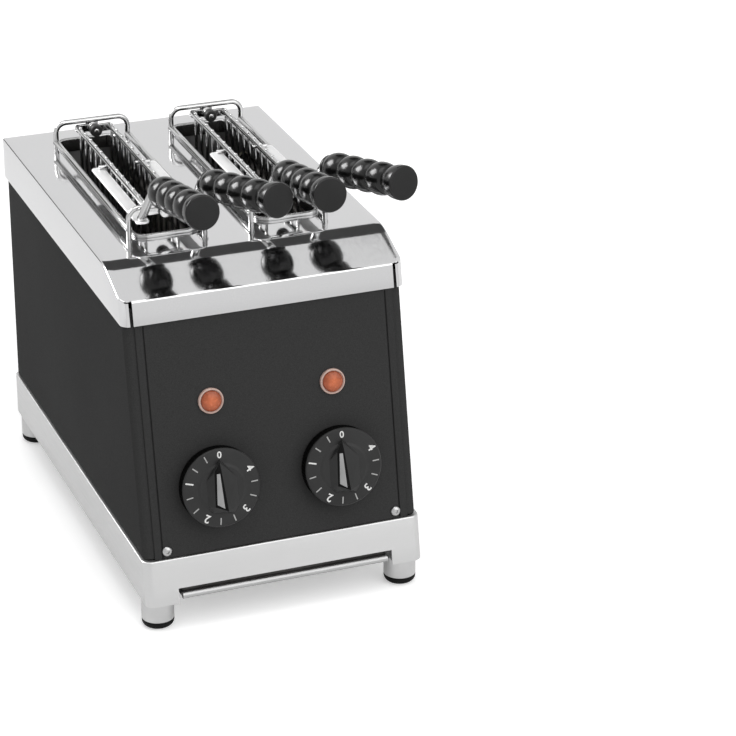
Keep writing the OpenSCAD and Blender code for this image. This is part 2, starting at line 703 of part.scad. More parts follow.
// Carrying frame of a tong: two rails, a hoop at each end and a tab for each pivot pin
module tong_frame(side) color("silver") at_slot(side) {
    for (x = [LEFT, RIGHT]) translate([x * rail_x, 0, rail_h]) rod_y(tong_front, tong_rear, rail_r);
    for (y = [tong_front, tong_rear]) translate([0, y, 0]) {
        for (x = [LEFT, RIGHT]) {
            translate([x * rail_x, 0, 0]) cylinder(h = hoop_h - hoop_bend, r = hoop_r);
            translate([x * (rail_x - hoop_bend), 0, hoop_h - hoop_bend])
                rotate([90, 0, x > 0 ? 0 : 180])
                    rotate_extrude(angle = 90) translate([hoop_bend, 0]) circle(hoop_r);
        }
        translate([0, 0, hoop_h]) rod_x(hoop_bend - rail_x, rail_x - hoop_bend, hoop_r);
        difference() {
            translate([-tab_w / 2, -tab_t / 2, pivot_h - 5]) cube([tab_w, tab_t, hoop_h - pivot_h + 5]);
            translate([0, 0, pivot_h]) rod_y(-tab_t, tab_t, pin_r + running);
        }
    }
}

// Places something at both ends of a tong, with +Y pointing into the slot from the hoop
module at_both_ends() {
    translate([0, tong_front, pivot_h]) children();
    translate([0, tong_rear, pivot_h]) mirror([0, 1, 0]) children();
}

module tong_pins(side) color("whitesmoke") at_slot(side) at_both_ends()
    rod_y(-tab_t / 2 - 0.8, bush_start + bush_w + 0.5, pin_r);

module tong_bushes(side) color("#151515") at_slot(side) at_both_ends() difference() {
    rod_y(bush_start, bush_start + bush_w, bush_outer_r);
    rod_y(0, bush_start + bush_w + 1, pin_r + running);
}

// Wire grid on a top rod, hung from two eyes on the pivot pins. i is 0 on the left, 1 on the right.
module tong_grid(side, i) color("silver") at_slot(side) {
    x = i == 0 ? LEFT : RIGHT;
    near = tong_front + eye_start[i];
    far = tong_rear - eye_start[i];
    pitch = (tong_rear - tong_front - 2 * wire_margin) / (wire_count - 1);
    translate([x * grid_x, 0, rod_h]) rod_y(near, far, top_rod_r);
    translate([x * grid_x, 0, -grid_depth])
        rod_y(tong_front + wire_margin, tong_rear - wire_margin, low_rod_r);
    for (n = [0 : wire_count - 1]) translate([x * grid_x, tong_front + wire_margin + n * pitch, 0]) {
        translate([0, 0, -grid_depth]) cylinder(h = grid_depth + wire_top, r = wire_r, $fn = 16);
        translate([0, 0, wire_top]) sphere(wire_r - 0.1, $fn = 16);
        if (n % 2 == i) translate([0, 0, -grid_depth])
            rod_x(x > 0 ? -finger_l : 0, x > 0 ? 0 : finger_l, wire_r);
    }
    translate([x * (strap_mid + grid_x - cross_in) / 2, cross_y, cross_h])
        rod_x((grid_x - cross_in - strap_mid) / 2, (strap_mid - grid_x + cross_in) / 2, cross_r);
    at_both_ends() difference() {
        union() {
            rod_y(eye_start[i], eye_start[i] + eye_w, eye_r);
            translate([x > 0 ? 0 : -grid_x, eye_start[i], -3]) cube([grid_x, eye_w, 6]);
        }
        rod_y(0, 2 * eye_start[1], pin_r + running);
    }
}

// Handle arm: a flat strap under the cross pin, and a bent neck up to the grip
module tong_arm(side, i) color("silver") at_slot(side) {
    x = i == 0 ? LEFT : RIGHT;
    foot = [x * strap_mid, neck_y, strap_top - strap_t + neck_r + 0.5];
    turn = grip_turn[i];
    aim = [sin(turn) * cos(grip_tilt), -cos(turn) * cos(grip_tilt), sin(grip_tilt)];
    elbow = [grip_x[i], tong_front - grip_y, grip_z] - neck_back * aim;
    translate([x * strap_mid - strap_w / 2, strap_front, strap_top - strap_t])
        cube([strap_w, cross_y + 4 - strap_front, strap_t]);
    translate(foot) sphere(neck_r + joint_swell);
    rod_between(foot, elbow, neck_r);
    translate(elbow) sphere(neck_r + joint_swell);
    along_grip(i) translate([0, 0, -neck_back]) cylinder(h = neck_back - seat, r = neck_r);
    along_grip(i) translate([0, 0, -1]) cylinder(h = tang_l, r = tang_r);
}

// Radius of a grip's beads at a share of one bead's length
function bead_at(t) = waist_r + (bead_r - waist_r) * sqrt(sin(180 * t));

// Turned grip: a round collar, a row of beads and a flared end with a flat disc
module tong_grip(side, i) color("#151515") at_slot(side) along_grip(i) difference() {
    bead_l = (grip_l - grip_collar_l - grip_end_l) / bead_count;
    half_collar = grip_collar_l / 2;
    rotate_extrude() polygon(concat(
        [[0, 0]],
        [for (a = [-80 : 20 : 60]) [waist_r - 1.6 + 2.4 * cos(a), half_collar * (1 + sin(a) / sin(80))]],
        [for (b = [0 : bead_count - 1], t = [0 : 0.125 : 0.875])
            [bead_at(t), grip_collar_l + (b + t) * bead_l]],
        [for (t = [0 : 0.2 : 1]) [waist_r + (disc_r - waist_r) * sin(90 * t), flare_y + t * flare_l]],
        [[disc_r, grip_l - disc_edge], [disc_r - disc_edge, grip_l], [0, grip_l]]));
    translate([0, 0, -1]) cylinder(h = tang_l + seat + 1, r = tang_r + running);
}

module left_tong_frame() tong_frame(LEFT);
module left_tong_pins() tong_pins(LEFT);
module left_tong_bushes() tong_bushes(LEFT);
module left_tong_left_grid() tong_grid(LEFT, 0);
module left_tong_right_grid() tong_grid(LEFT, 1);
module left_tong_left_arm() tong_arm(LEFT, 0);
module left_tong_right_arm() tong_arm(LEFT, 1);
module left_tong_left_grip() tong_grip(LEFT, 0);
module left_tong_right_grip() tong_grip(LEFT, 1);
module right_tong_frame() tong_frame(RIGHT);
module right_tong_pins() tong_pins(RIGHT);
module right_tong_bushes() tong_bushes(RIGHT);
module right_tong_left_grid() tong_grid(RIGHT, 0);
module right_tong_right_grid() tong_grid(RIGHT, 1);
module right_tong_left_arm() tong_arm(RIGHT, 0);
module right_tong_right_arm() tong_arm(RIGHT, 1);
module right_tong_left_grip() tong_grip(RIGHT, 0);
module right_tong_right_grip() tong_grip(RIGHT, 1);

base_frame();
crumb_tray();
tray_runners();
left_side_panel();
right_side_panel();
front_panel();
rear_panel();
top_cover();
left_slot_collar();
right_slot_collar();
front_bulkhead();
rear_bulkhead();
left_reflector();
centre_reflector();
right_reflector();
left_outer_heater();
left_inner_heater();
right_inner_heater();
right_outer_heater();
ceramic_sleeves();
left_timer();
right_timer();
left_timer_shaft();
right_timer_shaft();
left_knob();
right_knob();
left_knob_inlay();
right_knob_inlay();
left_lamp_bezel();
right_lamp_bezel();
left_lamp_lens();
right_lamp_lens();
lamp_nuts();
panel_screws();
front_left_foot();
front_right_foot();
rear_left_foot();
rear_right_foot();
foot_pads();
cable_gland();
terminal_block();
wiring();
left_tong_frame();
left_tong_pins();
left_tong_bushes();
left_tong_left_grid();
left_tong_right_grid();
left_tong_left_arm();
left_tong_right_arm();
left_tong_left_grip();
left_tong_right_grip();
right_tong_frame();
right_tong_pins();
right_tong_bushes();
right_tong_left_grid();
right_tong_right_grid();
right_tong_left_arm();
right_tong_right_arm();
right_tong_left_grip();
right_tong_right_grip();
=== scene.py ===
"""Looks of a two-slot sandwich toaster with lift-out tongs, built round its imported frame.

Lengths in the classes are millimetres, apart from the studio's, and become metres when a mesh is
made. Angles are radians where a note doesn't say degrees. A row of three numbers in a profile is a
point and its corner's radius.
"""

import json
import logging
import math
from dataclasses import dataclass
from enum import Enum
from typing import ClassVar, Optional, Sequence

import bmesh
import bpy
import numpy as np
from mathutils import Matrix

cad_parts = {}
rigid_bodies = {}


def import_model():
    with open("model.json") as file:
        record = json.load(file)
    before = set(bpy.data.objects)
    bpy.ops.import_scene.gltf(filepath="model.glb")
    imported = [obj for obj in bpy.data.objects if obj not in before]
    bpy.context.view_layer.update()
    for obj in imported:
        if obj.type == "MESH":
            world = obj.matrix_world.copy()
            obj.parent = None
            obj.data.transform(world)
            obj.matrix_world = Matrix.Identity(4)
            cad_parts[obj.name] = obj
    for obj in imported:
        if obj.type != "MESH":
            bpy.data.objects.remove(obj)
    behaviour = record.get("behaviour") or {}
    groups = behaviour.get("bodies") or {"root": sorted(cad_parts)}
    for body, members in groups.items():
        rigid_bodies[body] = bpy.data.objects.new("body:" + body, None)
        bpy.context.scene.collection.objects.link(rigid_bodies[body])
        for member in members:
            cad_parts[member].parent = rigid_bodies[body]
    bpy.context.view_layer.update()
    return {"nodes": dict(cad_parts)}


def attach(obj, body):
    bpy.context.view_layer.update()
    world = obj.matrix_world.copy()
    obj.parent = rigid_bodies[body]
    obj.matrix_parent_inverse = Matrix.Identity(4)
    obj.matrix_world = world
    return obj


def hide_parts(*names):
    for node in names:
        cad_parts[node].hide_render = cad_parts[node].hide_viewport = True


LOG = logging.getLogger("toaster")
MM = 0.001
X_AXIS, Y_AXIS, Z_AXIS = (1, 0, 0), (0, 1, 0), (0, 0, 1)
Array = np.ndarray
Rows = Sequence[Sequence[float]]
Socket = bpy.types.NodeSocket

for leftover in list(bpy.data.objects):
    bpy.data.objects.remove(leftover)
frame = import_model()


class Side(Enum):
    """Which of a pair, with its sign along X."""

    LEFT = -1
    RIGHT = 1

    @property
    def word(self) -> str:
        """The side as it stands in node names."""
        return self.name.lower()

    @property
    def index(self) -> int:
        """0 for left and 1 for right, for sizes that are given in pairs."""
        return (self.value + 1) // 2


def unit(v: Array) -> Array:
    """Vectors at length one along the last axis."""
    return v / np.maximum(np.linalg.norm(v, axis=-1, keepdims=True), 1e-12)


def spread(*columns: object) -> Array:
    """Coordinates, each an array or one number for all, side by side along a new last axis."""
    return np.stack(np.broadcast_arrays(*columns), -1)


def quarter(steps: int) -> Array:
    """Angles of a quarter turn in equal steps."""
    return np.linspace(0, math.pi / 2, steps + 1)


def full_turn(sides: int) -> Array:
    """Angles once round in equal steps, without the last, which is the first again."""
    return np.linspace(0, 2 * math.pi, sides, endpoint=False)


def rounded_line(corners: Rows, closed: bool = False, steps: int = 6) -> Array:
    """A line through corners, with an arc of the corner's own radius at each.

    The arc touches both legs at r / tan(half the angle) from the corner.

    Args:
        corners: rows of first coordinate, second coordinate and radius.
        closed: whether the last corner joins the first.
        steps: arc pieces at a corner.

    Returns:
        Points of the line, two columns.
    """
    c = np.asarray(corners, float)
    out = []
    for i, (here, r) in enumerate(zip(c[:, :2], c[:, 2])):
        if r <= 0 or (not closed and i in (0, len(c) - 1)):
            out.append(here[None])
            continue
        u, v = unit(c[i - 1, :2] - here), unit(c[(i + 1) % len(c), :2] - here)
        half = math.acos(np.clip(u @ v, -1, 1)) / 2
        centre, leg = here + unit(u + v) * r / math.sin(half), r / math.tan(half)
        a, b = here + u * leg - centre, here + v * leg - centre
        start = math.atan2(a[1], a[0])
        turn = (math.atan2(b[1], b[0]) - start + 3 * math.pi) % (2 * math.pi) - math.pi
        t = start + turn * np.linspace(0, 1, steps + 1)
        out.append(centre + r * spread(np.cos(t), np.sin(t)))
    return np.concatenate(out)


def rectangle(x0: float, x1: float, y0: float, y1: float, r: float, steps: int = 6) -> Array:
    """A counter-clockwise rectangle with round corners."""
    return rounded_line([(x0, y0, r), (x1, y0, r), (x1, y1, r), (x0, y1, r)], True, steps)


def smooth_path(points: Rows, rounds: int = 4) -> Array:
    """A polyline with its corners cut a quarter from each end, again and again, ends kept.

    Args:
        points: points of the polyline.
        rounds: how often the corners are cut.

    Returns:
        Points of the smooth line.
    """
    p = np.asarray(points, float)
    for _ in range(rounds):
        q, r = 0.75 * p[:-1] + 0.25 * p[1:], 0.25 * p[:-1] + 0.75 * p[1:]
        p = np.concatenate([p[:1], np.stack([q, r], 1).reshape(-1, p.shape[1]), p[-1:]])
    return p


def inset_loop(loop: Array, depth: float) -> Array:
    """A closed counter-clockwise loop moved in along the mitre of each point's two edges.

    Args:
        loop: points of the loop, two columns.
        depth: how far each edge moves in.

    Returns:
        Points of the smaller loop.
    """
    before, after = unit(loop - np.roll(loop, 1, 0)), unit(np.roll(loop, -1, 0) - loop)
    n1, n2 = (spread(-e[:, 1], e[:, 0]) for e in (before, after))
    return loop + depth * (n1 + n2) / np.maximum((1 + (n1 * n2).sum(-1, keepdims=True)), 0.3)


def show(name: str, data: bpy.types.ID) -> bpy.types.Object:
    """A new object at the origin, linked into the scene.

    Args:
        name: name of the object.
        data: its mesh, curve, lamp or camera.

    Returns:
        The object.
    """
    obj = bpy.data.objects.new(name, data)
    bpy.context.scene.collection.objects.link(obj)
    return obj


@dataclass(frozen=True)
class Place:
    """A local frame: an origin and three axes as rows."""

    origin: tuple = (0.0, 0.0, 0.0)
    axes: tuple = (X_AXIS, Y_AXIS, Z_AXIS)

    def of(self, points: Array) -> Array:
        """Points given in this frame, in the shared one."""
        return np.asarray(self.origin) + np.asarray(points) @ np.asarray(self.axes, float)

    def moved(self, x: float, y: float, z: float) -> "Place":
        """The same axes, with the origin moved along them."""
        return Place(tuple(self.of(np.array([x, y, z], float))), self.axes)

    def turned(self, angle: float) -> "Place":
        """The same origin, with the axes turned about the third.

        Args:
            angle: angle in radians.

        Returns:
            The turned frame.
        """
        a = np.asarray(self.axes, float)
        c, s = math.cos(angle), math.sin(angle)
        first, second = c * a[0] + s * a[1], c * a[1] - s * a[0]
        return Place(self.origin, (tuple(first), tuple(second), tuple(a[2])))


@dataclass
class Surface:
    """Points in millimetres and faces that number them."""

    points: Array
    faces: list

    @classmethod
    def grid(cls, points: Array, wrap_u: bool = False, wrap_v: bool = False, caps: bool = False,
             keep: Optional[Array] = None, inside: Optional[Sequence[float]] = None) -> "Surface":
        """Four-sided faces between neighbouring rows and columns of points.

        Args:
            points: rows by columns by three.
            wrap_u: joins the last row to the first.
            wrap_v: joins the last column to the first.
            caps: closes the first and the last row with one face each.
            keep: which faces stay, one flag for each.
            inside: a point behind the faces, for a surface that isn't closed.

        Returns:
            The surface, with its faces outward.
        """
        rows, cols = points.shape[:2]
        number = np.arange(rows * cols).reshape(rows, cols)
        ends = [number[0].tolist()[::-1], number[-1].tolist()]
        if wrap_u:
            number = np.vstack([number, number[:1]])
        if wrap_v:
            number = np.hstack([number, number[:, :1]])
        quads = spread(number[:-1, :-1], number[:-1, 1:], number[1:, 1:], number[1:, :-1])
        quads = quads.reshape(-1, 4) if keep is None else quads[keep]
        flat = points.reshape(-1, 3)
        middle = flat[np.unique(quads)].mean(0) if inside is None else np.asarray(inside, float)
        a, b, c, d = (flat[quads[:, i]] - middle for i in range(4))
        volume = (np.cross(c - a, d - b) * (a + b + c + d)).sum()
        faces = quads.tolist() + (ends if caps else [])
        return cls(flat, faces if volume >= 0 else [f[::-1] for f in faces])

    @classmethod
    def join(cls, *parts: "Surface") -> "Surface":
        """Several surfaces as one.

        Args:
            parts: the surfaces.

        Returns:
            One surface with all their points and faces.
        """
        starts = np.cumsum([0] + [len(p.points) for p in parts[:-1]]).tolist()
        faces = [[i + s for i in f] for p, s in zip(parts, starts) for f in p.faces]
        return cls(np.concatenate([p.points for p in parts]), faces)

    def put(self, place: Place) -> "Surface":
        """The surface carried into a frame."""
        return Surface(place.of(self.points), self.faces)

    def make(self, name: str, finish: "Finish", sharp: float) -> bpy.types.Object:
        """A mesh object at the origin, with doubles merged and edges sharp past an angle.

        Args:
            name: name of the object.
            finish: what it is made of.
            sharp: angle in degrees.

        Returns:
            The object.
        """
        mesh = bpy.data.meshes.new(name)
        mesh.from_pydata((self.points * MM).tolist(), [], self.faces)
        work = bmesh.new()
        work.from_mesh(mesh)
        bmesh.ops.remove_doubles(work, verts=work.verts, dist=2e-6)
        bmesh.ops.dissolve_degenerate(work, edges=work.edges, dist=1e-6)
        loose = [v for v in work.verts if not v.link_faces]
        bmesh.ops.delete(work, geom=loose, context="VERTS")
        work.to_mesh(mesh)
        work.free()
        mesh.polygons.foreach_set("use_smooth", np.ones(len(mesh.polygons), bool))
        mesh.set_sharp_from_angle(angle=math.radians(sharp))
        mesh.materials.append(finish.material())
        return show(name, mesh)

    def fit(self, name: str, finish: "Finish", body: str, *nodes: str, sharp: float = 35.0,
            wall: float = 0.0) -> None:
        """Makes the surface a finished piece and seats it.

        Args:
            name: name of the piece.
            finish: what it is made of.
            body: body it rides on.
            nodes: nodes it stands for.
            sharp: angle in degrees past which an edge is sharp.
            wall: thickness that an open sheet gets inwards, 0 for a closed surface.
        """
        piece = self.make(name, finish, sharp)
        if wall > 0:
            thicken(piece, wall)
        seat(piece, finish, body, *nodes)


def thicken(piece: bpy.types.Object, wall: float, sharp: float = 40.0) -> None:
    """Gives an open surface its sheet's thickness inwards, and marks its edges sharp past an angle.

    Args:
        piece: the object.
        wall: thickness in millimetres.
        sharp: angle in degrees.
    """
    m = piece.modifiers.new("sheet", "SOLIDIFY")
    m.thickness, m.offset, m.use_even_offset, m.use_rim = wall * MM, -1.0, True, True
    graph = bpy.context.evaluated_depsgraph_get()
    solid = bpy.data.meshes.new_from_object(piece.evaluated_get(graph))
    piece.modifiers.clear()
    thin, name = piece.data, piece.data.name
    piece.data = solid
    bpy.data.meshes.remove(thin)
    solid.name = name
    solid.set_sharp_from_angle(angle=math.radians(sharp))


def seat(piece: bpy.types.Object, finish: "Finish", body: str, *nodes: str) -> None:
    """Puts a piece on its body, in place of its nodes.

    Args:
        piece: the finished object.
        finish: its finish; not used.
        body: body it rides on.
        nodes: nodes it stands for.
    """
    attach(piece, body)
    if nodes:
        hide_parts(*nodes)
    LOG.info("%s rides on %s and stands for %s", piece.name, body, ", ".join(nodes) or "no node")


def lathe(profile: Array, sides: int = 64, ripple: "Array | float" = 1.0) -> Surface:
    """A profile of radius and height turned about the third axis.

    Args:
        profile: rows of radius and height, from one end of the axis to the other.
        sides: steps round the axis.
        ripple: factor on the radius, rows by sides, for ribs.

    Returns:
        The surface, with its poles merged when it is made.
    """
    t = full_turn(sides)
    r = profile[:, :1] * np.broadcast_to(ripple, (len(profile), sides))
    return Surface.grid(spread(r * np.cos(t), r * np.sin(t), profile[:, 1:]), wrap_v=True)


def tube(path: Array, radius: float, across: tuple, sides: int = 18, dome: float = 0.0) -> Surface:
    """A round section carried along a path, square to it.

    A station's first axis is the given vector without its part along the path, and its second axis
    is square to both. Past each end the radius falls as a quarter ellipse of height dome times the
    radius.

    Args:
        path: points of the path.
        radius: radius of the section.
        across: a vector that is never along the path.
        sides: steps round the section.
        dome: height of the rounded ends as a share of the radius, 0 for flat ends.

    Returns:
        The closed surface.
    """
    p, over, rings = np.asarray(path, float), np.asarray(across, float), 6
    along, size = unit(np.gradient(p, axis=0)), np.full(len(p), radius)
    if dome > 0:
        q = quarter(rings)[1:]
        lift, shrink = (dome * radius * np.sin(q))[:, None], radius * np.cos(q)
        p = np.concatenate([(p[0] - along[0] * lift)[::-1], p, p[-1] + along[-1] * lift])
        along = np.concatenate([along[:1].repeat(rings, 0), along, along[-1:].repeat(rings, 0)])
        size = np.concatenate([shrink[::-1], size, shrink])
    first = unit(over - along * (along @ over)[:, None])
    second = np.cross(along, first)
    t = full_turn(sides)[None, :, None]
    ring = np.cos(t) * first[:, None] + np.sin(t) * second[:, None]
    points = p[:, None] + size[:, None, None] * ring
    return Surface.grid(points, wrap_v=True, caps=dome <= 0)


def plate(outline: Array, low: float, high: float, edge: float, steps: int = 4) -> Surface:
    """A flat plate between two heights, whose edges are quarter rounds.

    Each ring is the outline moved in by edge times (1 - cos a), at a height edge times (1 - sin a)
    from the face.

    Args:
        outline: counter-clockwise loop.
        low: height of the lower face.
        high: height of the upper face.
        edge: radius of the rounded edges.
        steps: pieces in a quarter round.

    Returns:
        The closed surface.
    """
    a = quarter(steps)
    near, far = edge * (1 - np.cos(a)), edge * (1 - np.sin(a))
    rows = zip(np.concatenate([far, near]), np.concatenate([low + near, high - far]))
    rings = [spread(*inset_loop(outline, depth).T, height) for depth, height in rows]
    return Surface.grid(np.stack(rings), wrap_v=True, caps=True)


class Recipe:
    """The node tree of a material or world, with short calls for the nodes they share."""

    def __init__(self, owner: bpy.types.ID, end: str = "Principled BSDF") -> None:
        """Takes up a node tree.

        Args:
            owner: the material or world.
            end: name of the node that shades it.
        """
        owner.use_nodes = True
        self.owner, self.tree = owner, owner.node_tree
        self.end = self.tree.nodes[end]

    def fill(self, node: bpy.types.Node, inputs: dict) -> None:
        """Links each input that is given a socket, and sets each other one.

        Args:
            node: the node.
            inputs: socket or value for each input.
        """
        for key, value in inputs.items():
            if isinstance(value, Socket):
                self.tree.links.new(value, node.inputs[key])
            else:
                node.inputs[key].default_value = value

    def node(self, kind: str, inputs: dict, **values: object) -> bpy.types.NodeOutputs:
        """A new node.

        Args:
            kind: its kind, without the word that all kinds start with.
            inputs: socket or value for each input.
            values: its properties.

        Returns:
            Its outputs.
        """
        n = self.tree.nodes.new(f"ShaderNode{kind}")
        for key, value in values.items():
            setattr(n, key, value)
        self.fill(n, inputs)
        return n.outputs

    def feed(self, **inputs: object) -> None:
        """Fills the shading node's own inputs; an underscore in a name stands for a space."""
        self.fill(self.end, {key.replace("_", " "): value for key, value in inputs.items()})

    def noise(self, scale: float, stretch: tuple = (1, 1, 1), detail: float = 3.0,
              roughness: float = 0.5) -> Socket:
        """Noise on Object coordinates.

        Args:
            scale: features for each metre.
            stretch: factor on the scale along each axis.
            detail: octaves.
            roughness: strength of the finer octaves.

        Returns:
            The noise's value.
        """
        spot = self.node("TexCoord", {})["Object"]
        spot = self.node("Mapping", {"Vector": spot, "Scale": stretch})["Vector"]
        return self.node("TexNoise", {"Vector": spot, "Scale": scale, "Detail": detail,
                                      "Roughness": roughness})["Fac"]

    def combine(self, operation: str, a: Socket, b: Socket) -> Socket:
        """Two values put together by an operation."""
        return self.node("Math", {0: a, 1: b}, operation=operation)["Value"]

    def span(self, value: Socket, low: float, high: float, start: float = 0.3,
             end: float = 0.7) -> Socket:
        """A value carried from start..end to low..high."""
        return self.node("MapRange", {"Value": value, "From Min": start, "From Max": end,
                                      "To Min": low, "To Max": high})["Result"]

    def ramp(self, value: Socket, low: tuple, high: tuple, start: float, end: float) -> Socket:
        """A colour between two colours.

        Args:
            value: what chooses it.
            low: colour at the start and below.
            high: colour at the end and above.
            start: value of the first colour.
            end: value of the second colour.

        Returns:
            The colour.
        """
        colour = self.node("ValToRGB", {"Fac": value})["Color"]
        stops = zip(colour.node.color_ramp.elements, (start, end), (low, high))
        for stop, position, tint in stops:
            stop.position, stop.color = position, (*tint, 1)
        return colour

    def bump(self, height: Socket, depth: float, under: Optional[Socket] = None) -> Socket:
        """A bump of a depth in metres, on top of another one if given."""
        below = {} if under is None else {"Normal": under}
        return self.node("Bump", {"Height": height, "Distance": depth, **below})["Normal"]


def grey(value: float) -> tuple:
    """A colour with no hue."""
    return (value,) * 3


def shade(colour: Sequence[float], factor: float) -> tuple:
    """A colour made darker or lighter by a factor."""
    return tuple(min(1.0, c * factor) for c in colour)


@dataclass(frozen=True)
class Finish:
    """What a piece is made of: a colour with a faint cloud in it, and grain in a span of roughness.

    The cloud has a strength, and features for each metre. The grain has features for each metre,
    and a depth in metres. Octaves are those of the cloud and of the grain.
    """

    name: str
    slot: str
    colour: tuple
    rough: tuple
    cloud: tuple
    grain: tuple
    stretch: tuple = (1.0, 1.0, 1.0)
    octaves: tuple = (4, 3)
    metal: float = 0.0
    coat: float = 0.0
    coat_rough: float = 0.08
    shine: float = 0.5
    made: ClassVar[dict] = {}

    def material(self) -> bpy.types.Material:
        """The material, made on first use.

        Returns:
            The material.
        """
        if self.name not in self.made:
            recipe = Recipe(bpy.data.materials.new(self.name))
            recipe.feed(Metallic=self.metal, Coat_Weight=self.coat, Coat_Roughness=self.coat_rough,
                        Specular_IOR_Level=self.shine)
            self.dress(recipe)
            self.made[self.name] = recipe.owner
        return self.made[self.name]

    def tint(self, recipe: Recipe, value: Socket, lift: float = 1.0, start: float = 0.3,
             end: float = 0.7) -> Socket:
        """The colour, from darker to lighter by the cloud's strength.

        Args:
            recipe: the material's node tree.
            value: noise that chooses the shade.
            lift: factor on the strength towards the light.
            start: value of the darkest shade.
            end: value of the lightest shade.

        Returns:
            The shaded colour.
        """
        strength = self.cloud[0]
        dark, light = shade(self.colour, 1 - strength), shade(self.colour, 1 + lift * strength)
        return recipe.ramp(value, dark, light, start, end)

    def dress(self, recipe: Recipe) -> None:
        """Cloud in the colour, grain in the roughness and in a shallow bump.

        Args:
            recipe: the material's node tree.
        """
        cloud = recipe.noise(self.cloud[1], detail=self.octaves[0])
        grain = recipe.noise(self.grain[0], self.stretch, self.octaves[1])
        recipe.feed(Base_Color=self.tint(recipe, cloud), Roughness=recipe.span(grain, *self.rough),
                    Normal=recipe.bump(grain, self.grain[1]))


@dataclass(frozen=True)
class PolishedSheet(Finish):
    """Bright rolled sheet: fine polishing lines one way, a slow waviness and faint wiping haze.

    The haze is a span added to the roughness. The wave has features for each metre, and a depth.
    """

    metal: float = 1.0
    haze: tuple = (-0.01, 0.02)
    wave: tuple = (7.0, 0.00003)

    def dress(self, recipe: Recipe) -> None:
        """Lines in the roughness and bump, with a slow wave under them.

        Args:
            recipe: the material's node tree.
        """
        lines = recipe.noise(self.grain[0], self.stretch, detail=5, roughness=0.6)
        haze = recipe.noise(self.cloud[1], detail=4)
        slow = recipe.bump(recipe.noise(self.wave[0], detail=1), self.wave[1])
        rough = recipe.combine("ADD", recipe.span(lines, *self.rough),
                               recipe.span(haze, *self.haze))
        recipe.feed(Base_Color=self.tint(recipe, haze), Roughness=rough,
                    Normal=recipe.bump(lines, self.grain[1], slow))


@dataclass(frozen=True)
class PowderCoat(Finish):
    """Baked powder: a fine pebbled skin with a few brighter specks and a slow change in gloss.

    The peel is a larger pebble, whose depth is a share of the grain's.
    """

    peel_scale: float = 260.0
    peel_share: float = 1.5
    speck: float = 3.0

    def dress(self, recipe: Recipe) -> None:
        """Two sizes of pebble in the bump, specks in the colour.

        Args:
            recipe: the material's node tree.
        """
        pebble = recipe.noise(self.grain[0], detail=4, roughness=0.65)
        gloss = recipe.noise(self.cloud[1], detail=3)
        peel = recipe.bump(recipe.noise(self.peel_scale, detail=2), self.grain[1] * self.peel_share)
        recipe.feed(Base_Color=self.tint(recipe, pebble, self.speck, 0.35, 0.8),
                    Roughness=recipe.span(gloss, *self.rough),
                    Normal=recipe.bump(pebble, self.grain[1], peel))


@dataclass(frozen=True)
class Lens(Finish):
    """Tinted moulding with a painted highlight in its middle and painted shade at its rim, slightly
    mottled.

    The centre is a lens's middle with each coordinate made positive, so that it serves both lenses.
    """

    glow: float = 0.05
    # The core is the middle's colour, a painted highlight; the rim's share darkens the colour as
    # painted shade.
    core: tuple = (0.55, 0.14, 0.055)
    rim_share: float = 0.6
    centre: tuple = (46.6, 154.9, 166.5)
    reach: float = 9.0
    mottle: float = 420.0

    def dress(self, recipe: Recipe) -> None:
        """Colour by the distance from either lens's middle: a painted highlight there, painted
        shade at the rim, and a faint glow of it.

        Args:
            recipe: the material's node tree.
        """
        spot = recipe.node("TexCoord", {})["Object"]
        either = recipe.node("VectorMath", {0: spot}, operation="ABSOLUTE")["Vector"]
        local = recipe.node("Mapping", {"Vector": either, "Scale": [1 / (self.reach * MM)] * 3,
                                        "Location": [-c / self.reach for c in self.centre]})
        ball = recipe.node("TexGradient", {"Vector": local["Vector"]}, gradient_type="SPHERICAL")
        mottle = recipe.noise(self.mottle, detail=2)
        mixed = recipe.combine("ADD", ball["Fac"], recipe.span(mottle, -0.1, 0.1))
        # Painted shade towards the rim and a painted highlight in the middle, by the distance from
        # either middle.
        tint = recipe.ramp(mixed, shade(self.colour, self.rim_share), self.core, 0.1, 0.75)
        recipe.feed(Base_Color=tint, Emission_Color=tint, Emission_Strength=self.glow,
                    Roughness=recipe.span(mottle, *self.rough),
                    Normal=recipe.bump(mottle, self.grain[1]))


@dataclass(frozen=True)
class Turned(Finish):
    """Lathe-turned metal: rings round the upright axis, as grain that changes only along it."""

    stretch: tuple = (0.02, 0.02, 1.0)
    octaves: tuple = (3, 4)
    metal: float = 1.0


POLISHED = PolishedSheet("polished_sheet", "polished_steel", (0.62, 0.62, 0.625),
                         rough=(0.05, 0.10), cloud=(0.015, 9), grain=(700, 8e-7),
                         stretch=(1, 0.02, 1))
SATIN = PolishedSheet("satin_sheet", "satin_steel", grey(0.54), rough=(0.30, 0.42),
                      cloud=(0.02, 12), grain=(900, 3e-6), stretch=(0.03, 0.03, 1))
# Darker copy of the polished sheet: painted shade along the slots' rims.
RIM_PAINTED_SHADE = PolishedSheet("rim_sheet", "polished_steel", grey(0.40), rough=(0.16, 0.24),
                    cloud=(0.03, 20), grain=(700, 1e-6), stretch=(1, 0.02, 1))
